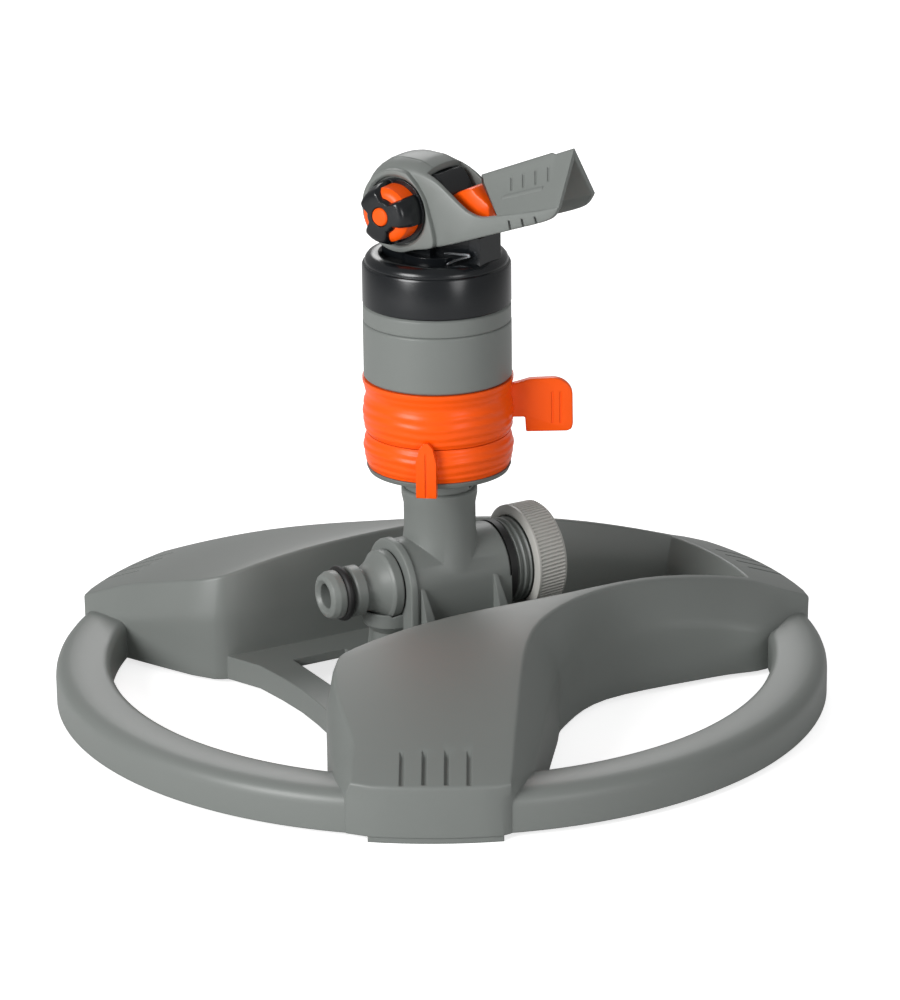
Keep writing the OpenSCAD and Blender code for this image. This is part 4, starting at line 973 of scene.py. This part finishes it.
class SPRINKLER_OT_tee(bpy.types.Operator):
    """The tee: tube and stem that meet in a V, end plate, boss, ribs and thread"""
    bl_idname = "sprinkler.tee"
    bl_label = "Tee"

    def execute(self, context):
        low, high = box_mm("tee_body")
        floor, axle = low.z, (0, 0, TEE_Z)
        tube = revolve([(0, -20), (TEE_R, -20), (TEE_R, 19.2), (TEE_R - 0.8, 20), (0, 20)], 96, "X", axle)
        stem = revolve([(0, TEE_Z - 1), (TEE_R - 0.05, TEE_Z - 1), (TEE_R - 0.05, TEE_Z + 1),
                        (12.6, TEE_Z + 15.5), (12.4, TEE_Z + 18), (12.4, high.z - 6), (13.1, high.z - 2.5),
                        (13.1, high.z - 0.6), (12.5, high.z), (0, high.z)], 96)
        root, crest = 13.8, 15.0
        thread = [(0, 19.5), (root, 19.5)]
        for i in range(6):
            x = 22.9 + i * 2.3
            thread += [(root, x), (crest - 0.2, x + 0.45), (crest, x + 0.7), (crest - 0.2, x + 0.95),
                       (root, x + 1.4)]
        thread = revolve(thread + [(root, high.x), (0, high.x)], 96, "X", axle)
        rim = TEE_R + 0.8
        arch = [Vector((rim * math.cos(math.radians(a)), TEE_Z + rim * math.sin(math.radians(a))))
                for a in range(0, 181, 6)]
        arch = [Vector((rim, floor))] + arch + [Vector((-rim, floor))]
        end_plate = stack([[(x, p.x, p.y) for p in inset(arch, g)]
                           for x, g in ((-20, 0.7), (-19.8, 0.2), (-19.4, 0.01), (-17.5, 0.01), (-17, 0.5))])
        outside = union(tube, [stem, thread, end_plate])
        legs = [prism(rectangle(-19, -TEE_R, 20, TEE_R), floor, TEE_Z),
                revolve([(0, floor), (6.4, floor), (6.4, 26.4), (9.6, 29.4), (9.6, TEE_Z - 8.4),
                         (0, TEE_Z - 8.4)], 64, at=(-20, 0, 0))]
        for side in (-1, 1):
            for x in (-16.2, 12.6):
                gusset = ((6, 24.5, floor), (3.6, 19.6, 33), (1.6, 15.6, 44), (1, 15, 44.5))
                legs.append(stack([[(x, side * 14, z), (x + wide, side * 14, z), (x + wide, side * y, z),
                                    (x, side * y, z)] for wide, y, z in gusset]))
        outside = union(outside, legs)
        bores = [rod(10, -21, 60, 96, "X", axle),
                 revolve([(0, -60), (7.9, -60), (7.9, -31), (9.2, -27.9), (11.7, -24.7), (12.7, -23.8),
                          (12.7, -20.02), (0, -20.02)], 96, "X", axle),
                 rod(9.6, TEE_Z, 90, 96)]
        cavity = prism(rectangle(-16.5, 2.5 - TEE_R, 17.5, TEE_R - 2.5), floor - 1, TEE_Z - 12.5)
        screws = [(x, y, 0) for x in (-14, 14) for y in (-9.5, 9.5)]
        posts = [rod(4, floor - 2, floor + 28, at=place) for place in screws]
        holes = [rod(1.55, floor - 3, floor + 14, 24, at=place) for place in screws]
        tee = cut(outside, bores + [cut(cavity, posts)] + holes)
        finish_piece("tee_with_saddle", tee, "grey_plastic", "turret", "tee_body", angle=30)
        return {"FINISHED"}


class SprinklerOutletCap(bpy.types.PropertyGroup):
    """Sizes of the knurled outlet cap, in millimetres."""
    ribs: IntProperty(name="Ribs", description="Ribs in the knurl", default=88)
    rib_w: FloatProperty(name="Rib width", description="Width of a rib", default=0.95)
    lean: FloatProperty(name="Lean", description="Slant of the ribs, in degrees", default=5.0)


def knurl_tree():
    """Geometry Nodes: a round rib, repeated on a circle, each leaning the same way."""
    tree = bpy.data.node_groups.new("Knurl", "GeometryNodeTree")
    tree.is_modifier = True
    sockets = {}
    for name, kind in (("Geometry", "Geometry"), ("Ribs", "Int"), ("Radius", "Float"), ("Rib width", "Float"),
                       ("Length", "Float"), ("Lean", "Float"), ("Material", "Material")):
        sockets[name] = tree.interface.new_socket(name, in_out="INPUT", socket_type="NodeSocket" + kind)
    tree.interface.new_socket("Geometry", in_out="OUTPUT", socket_type="NodeSocketGeometry")
    group = add(tree, "NodeGroupInput")
    circle = add(tree, "GeometryNodeMeshCircle", [("Vertices", group, "Ribs"), ("Radius", group, "Radius")])
    half = add(tree, "ShaderNodeMath", [(0, group, "Rib width")], operation="DIVIDE")
    half.inputs[1].default_value = 2.0
    rib = add(tree, "GeometryNodeMeshCylinder", [("Radius", half, 0), ("Depth", group, "Length")])
    rib.inputs["Vertices"].default_value = 10
    index = add(tree, "GeometryNodeInputIndex")
    step = add(tree, "ShaderNodeMath", [(1, group, "Ribs")], operation="DIVIDE")
    step.inputs[0].default_value = 2 * math.pi
    angle = add(tree, "ShaderNodeMath", [(0, index, 0), (1, step, 0)], operation="MULTIPLY")
    spin = add(tree, "ShaderNodeCombineXYZ", [("X", group, "Lean"), ("Z", angle, 0)])
    copies = add(tree, "GeometryNodeInstanceOnPoints",
                 [("Points", circle, "Mesh"), ("Instance", rib, "Mesh"), ("Rotation", spin, "Vector")])
    joined = add(tree, "GeometryNodeJoinGeometry",
                 [("Geometry", copies, "Instances"), ("Geometry", group, "Geometry")])
    real = add(tree, "GeometryNodeRealizeInstances", [("Geometry", joined, "Geometry")])
    paint = add(tree, "GeometryNodeSetMaterial",
                [("Geometry", real, "Geometry"), ("Material", group, "Material")])
    add(tree, "NodeGroupOutput", [("Geometry", paint, "Geometry")])
    return tree, {name: socket.identifier for name, socket in sockets.items()}


class SPRINKLER_OT_outlet_cap(bpy.types.Operator):
    """The knurled cap on the outlet"""
    bl_idname = "sprinkler.outlet_cap"
    bl_label = "Outlet cap"

    def execute(self, context):
        c = context.scene.sprinkler_outlet_cap
        low, high = box_mm("outlet_cap")
        r, length = (high.z - low.z) / 2, high.x - low.x
        middle = (low.z + high.z) / 2
        body = revolve([(15.1, 0.6), (15.7, 0), (r - 1.1, 0), (r - 0.3, 0.5), (r - 0.3, 1.3), (r - 0.75, 1.5),
                        (r - 0.75, length - 2.2), (r - 1.3, length - 1.2), (r - 2.6, length - 0.4),
                        (r - 4, length), (r - 6, length), (r - 6.6, length - 0.5), (0, length - 0.5),
                        (0, length - 2.6), (15.1, length - 2.6)])
        cap = temp(body)
        tree, inputs = knurl_tree()
        knurl = cap.modifiers.new("Knurl", "NODES")
        knurl.node_group = tree
        span = length - 3.6
        for name, value in (("Ribs", c.ribs), ("Radius", (r - 0.72) * MM), ("Rib width", c.rib_w * MM),
                            ("Length", span * MM), ("Lean", math.radians(c.lean)),
                            ("Material", MATERIALS["silver_plastic"])):
            knurl[inputs[name]] = value
        # The knurl is made round the origin, so the cap goes there and back
        body.transform(move(0, 0, -(1.3 + span / 2)))
        mesh = plain(cap)
        mesh.transform(move(0, 0, 1.3 + span / 2))
        mesh.transform(move(low.x, 0, middle) @ turn(90, "Y"))
        finish_piece("knurled_outlet_cap", mesh, "silver_plastic", "cap", "outlet_cap", angle=35)
        return {"FINISHED"}


# ---------------------------------------------------------------- CAD pieces that keep their shape

class SPRINKLER_OT_plain(bpy.types.Operator):
    """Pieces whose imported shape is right: they only get their finish"""
    bl_idname = "sprinkler.plain"
    bl_label = "Packed pieces"

    def execute(self, context):
        for entry in frame["record"]["subparts"]:
            dress(entry["material_slot"], entry["node"])
        return {"FINISHED"}


# ---------------------------------------------------------------- stage

class SprinklerStage(bpy.types.PropertyGroup):
    """Camera and light."""
    focal: FloatProperty(name="Lens", description="Focal length", default=156.85, unit="CAMERA")
    distance: FloatProperty(name="Distance", description="Camera to target", default=1.5, unit="LENGTH")
    azimuth: FloatProperty(name="Azimuth", description="Turn of the picture's right", default=-29.07)
    elevation: FloatProperty(name="Elevation", description="Camera above level", default=19.19)
    roll: FloatProperty(name="Roll", description="Turn of the picture", default=0.68)
    key: FloatProperty(name="Key", description="Power of the main softbox", default=27.0, unit="POWER")
    fill: FloatProperty(name="Fill", description="Power of the fill softbox", default=4.0, unit="POWER")
    sky: FloatProperty(name="Sky", description="Strength of the even light", default=0.33)


TARGET = Vector((3.16, -1.76, 69.35)) * MM


def softbox(name, width, power, place):
    """A round area light that looks at the target."""
    light = bpy.data.lights.new(name, "AREA")
    light.shape, light.size, light.energy = "DISK", width, power
    lamp = bpy.data.objects.new(name, light)
    lamp.location = place
    lamp.rotation_euler = (Vector(place) - TARGET).to_track_quat("Z", "Y").to_euler()
    bpy.context.scene.collection.objects.link(lamp)


class SPRINKLER_OT_stage(bpy.types.Operator):
    """Pale floor, softboxes, even sky and the camera at the photograph's view"""
    bl_idname = "sprinkler.stage"
    bl_label = "Stage"

    def execute(self, context):
        s = context.scene.sprinkler_stage
        scene = context.scene
        a, e, roll = (math.radians(v) for v in (s.azimuth, s.elevation, s.roll))
        right = Vector((math.cos(a), math.sin(a), 0))
        back = Vector((math.sin(a) * math.cos(e), -math.cos(a) * math.cos(e), math.sin(e)))
        up = back.cross(right)
        turned_right = right * math.cos(roll) - up * math.sin(roll)
        turned_up = right * math.sin(roll) + up * math.cos(roll)
        camera = bpy.data.objects.new("Camera", bpy.data.cameras.new("Camera"))
        scene.collection.objects.link(camera)
        camera.data.lens = s.focal
        camera.data.sensor_width = camera.data.sensor_height = 36
        camera.data.sensor_fit = "AUTO"
        camera.data.clip_end = 20
        place = TARGET + back * s.distance
        camera.matrix_world = Matrix((
            (turned_right.x, turned_up.x, back.x, place.x), (turned_right.y, turned_up.y, back.y, place.y),
            (turned_right.z, turned_up.z, back.z, place.z), (0, 0, 0, 1)))
        scene.camera = camera

        bm = bmesh.new()
        bmesh.ops.create_circle(bm, cap_ends=True, radius=6, segments=64)
        mesh = bpy.data.meshes.new("Floor")
        bm.to_mesh(mesh)
        bm.free()
        floor = bpy.data.objects.new("Floor", mesh)
        scene.collection.objects.link(floor)
        paper = bpy.data.materials.new("White paper sweep")
        tree = empty_tree(paper)
        out = add(tree, "ShaderNodeOutputMaterial")
        diffuse = add(tree, "ShaderNodeBsdfDiffuse")
        diffuse.inputs["Color"].default_value = (0.8, 0.8, 0.8, 1)
        glow = add(tree, "ShaderNodeEmission", Strength=0.75)
        both = add(tree, "ShaderNodeAddShader", [(0, diffuse, "BSDF"), (1, glow, "Emission")])
        path = add(tree, "ShaderNodeLightPath")
        mix = add(tree, "ShaderNodeMixShader",
                  [("Fac", path, "Is Camera Ray"), (1, diffuse, "BSDF"), (2, both, 0)])
        tree.links.new(mix.outputs[0], out.inputs["Surface"])
        mesh.materials.append(paper)

        softbox("Key softbox", 0.9, s.key, (-1.6, -0.45, 0.75))
        softbox("Fill softbox", 0.6, s.fill, (0.1, -1.6, 0.45))
        softbox("Back softbox", 0.8, s.fill * 1.5, (0.6, 1.2, 0.9))

        world = bpy.data.worlds.new("Studio")
        scene.world = world
        tree = empty_tree(world)
        out = add(tree, "ShaderNodeOutputWorld")
        path = add(tree, "ShaderNodeLightPath")
        light = add(tree, "ShaderNodeBackground", Color=(1, 1, 1, 1), Strength=s.sky)
        seen = add(tree, "ShaderNodeBackground", Color=(1, 1, 1, 1), Strength=1.0)
        mix = add(tree, "ShaderNodeMixShader",
                  [("Fac", path, "Is Camera Ray"), (1, light, "Background"), (2, seen, "Background")])
        tree.links.new(mix.outputs[0], out.inputs["Surface"])
        scene.view_settings.view_transform = "Standard"
        return {"FINISHED"}


class SPRINKLER_PT_panel(bpy.types.Panel):
    """Sidebar panel with one button for each group of pieces"""
    bl_label = "Turbine sprinkler"
    bl_idname = "SPRINKLER_PT_panel"
    bl_space_type = "VIEW_3D"
    bl_region_type = "UI"
    bl_category = "Sprinkler"

    def draw(self, context):
        for operator in OPERATORS:
            self.layout.operator(operator.bl_idname)


GROUPS = {"sprinkler_colours": SprinklerColours, "sprinkler_base": SprinklerBase,
          "sprinkler_rings": SprinklerRings, "sprinkler_knob": SprinklerKnob, "sprinkler_hood": SprinklerHood,
          "sprinkler_outlet_cap": SprinklerOutletCap, "sprinkler_stage": SprinklerStage}
OPERATORS = [SPRINKLER_OT_stage, SPRINKLER_OT_plain, SPRINKLER_OT_base, SPRINKLER_OT_tee,
             SPRINKLER_OT_outlet_cap, SPRINKLER_OT_rings, SPRINKLER_OT_cap, SPRINKLER_OT_nozzle,
             SPRINKLER_OT_hood, SPRINKLER_OT_knob]


def register():
    """Adds the settings, the operators and the panel."""
    for group in GROUPS.values():
        bpy.utils.register_class(group)
    for operator in OPERATORS + [SPRINKLER_PT_panel]:
        bpy.utils.register_class(operator)
    for name, group in GROUPS.items():
        setattr(bpy.types.Scene, name, PointerProperty(type=group))


def unregister():
    """Takes them out again."""
    for name in GROUPS:
        delattr(bpy.types.Scene, name)
    for operator in OPERATORS + [SPRINKLER_PT_panel] + list(GROUPS.values()):
        bpy.utils.unregister_class(operator)


def main():
    """Makes the pieces in order."""
    register()
    MATERIALS.update(make_materials(bpy.context.scene.sprinkler_colours))
    bpy.ops.sprinkler.stage()
    bpy.ops.sprinkler.plain()
    bpy.ops.sprinkler.base()
    bpy.ops.sprinkler.tee()
    bpy.ops.sprinkler.outlet_cap()
    bpy.ops.sprinkler.rings()
    bpy.ops.sprinkler.cap()
    bpy.ops.sprinkler.nozzle()
    bpy.ops.sprinkler.hood()
    bpy.ops.sprinkler.knob()


if __name__ == "__main__":
    main()
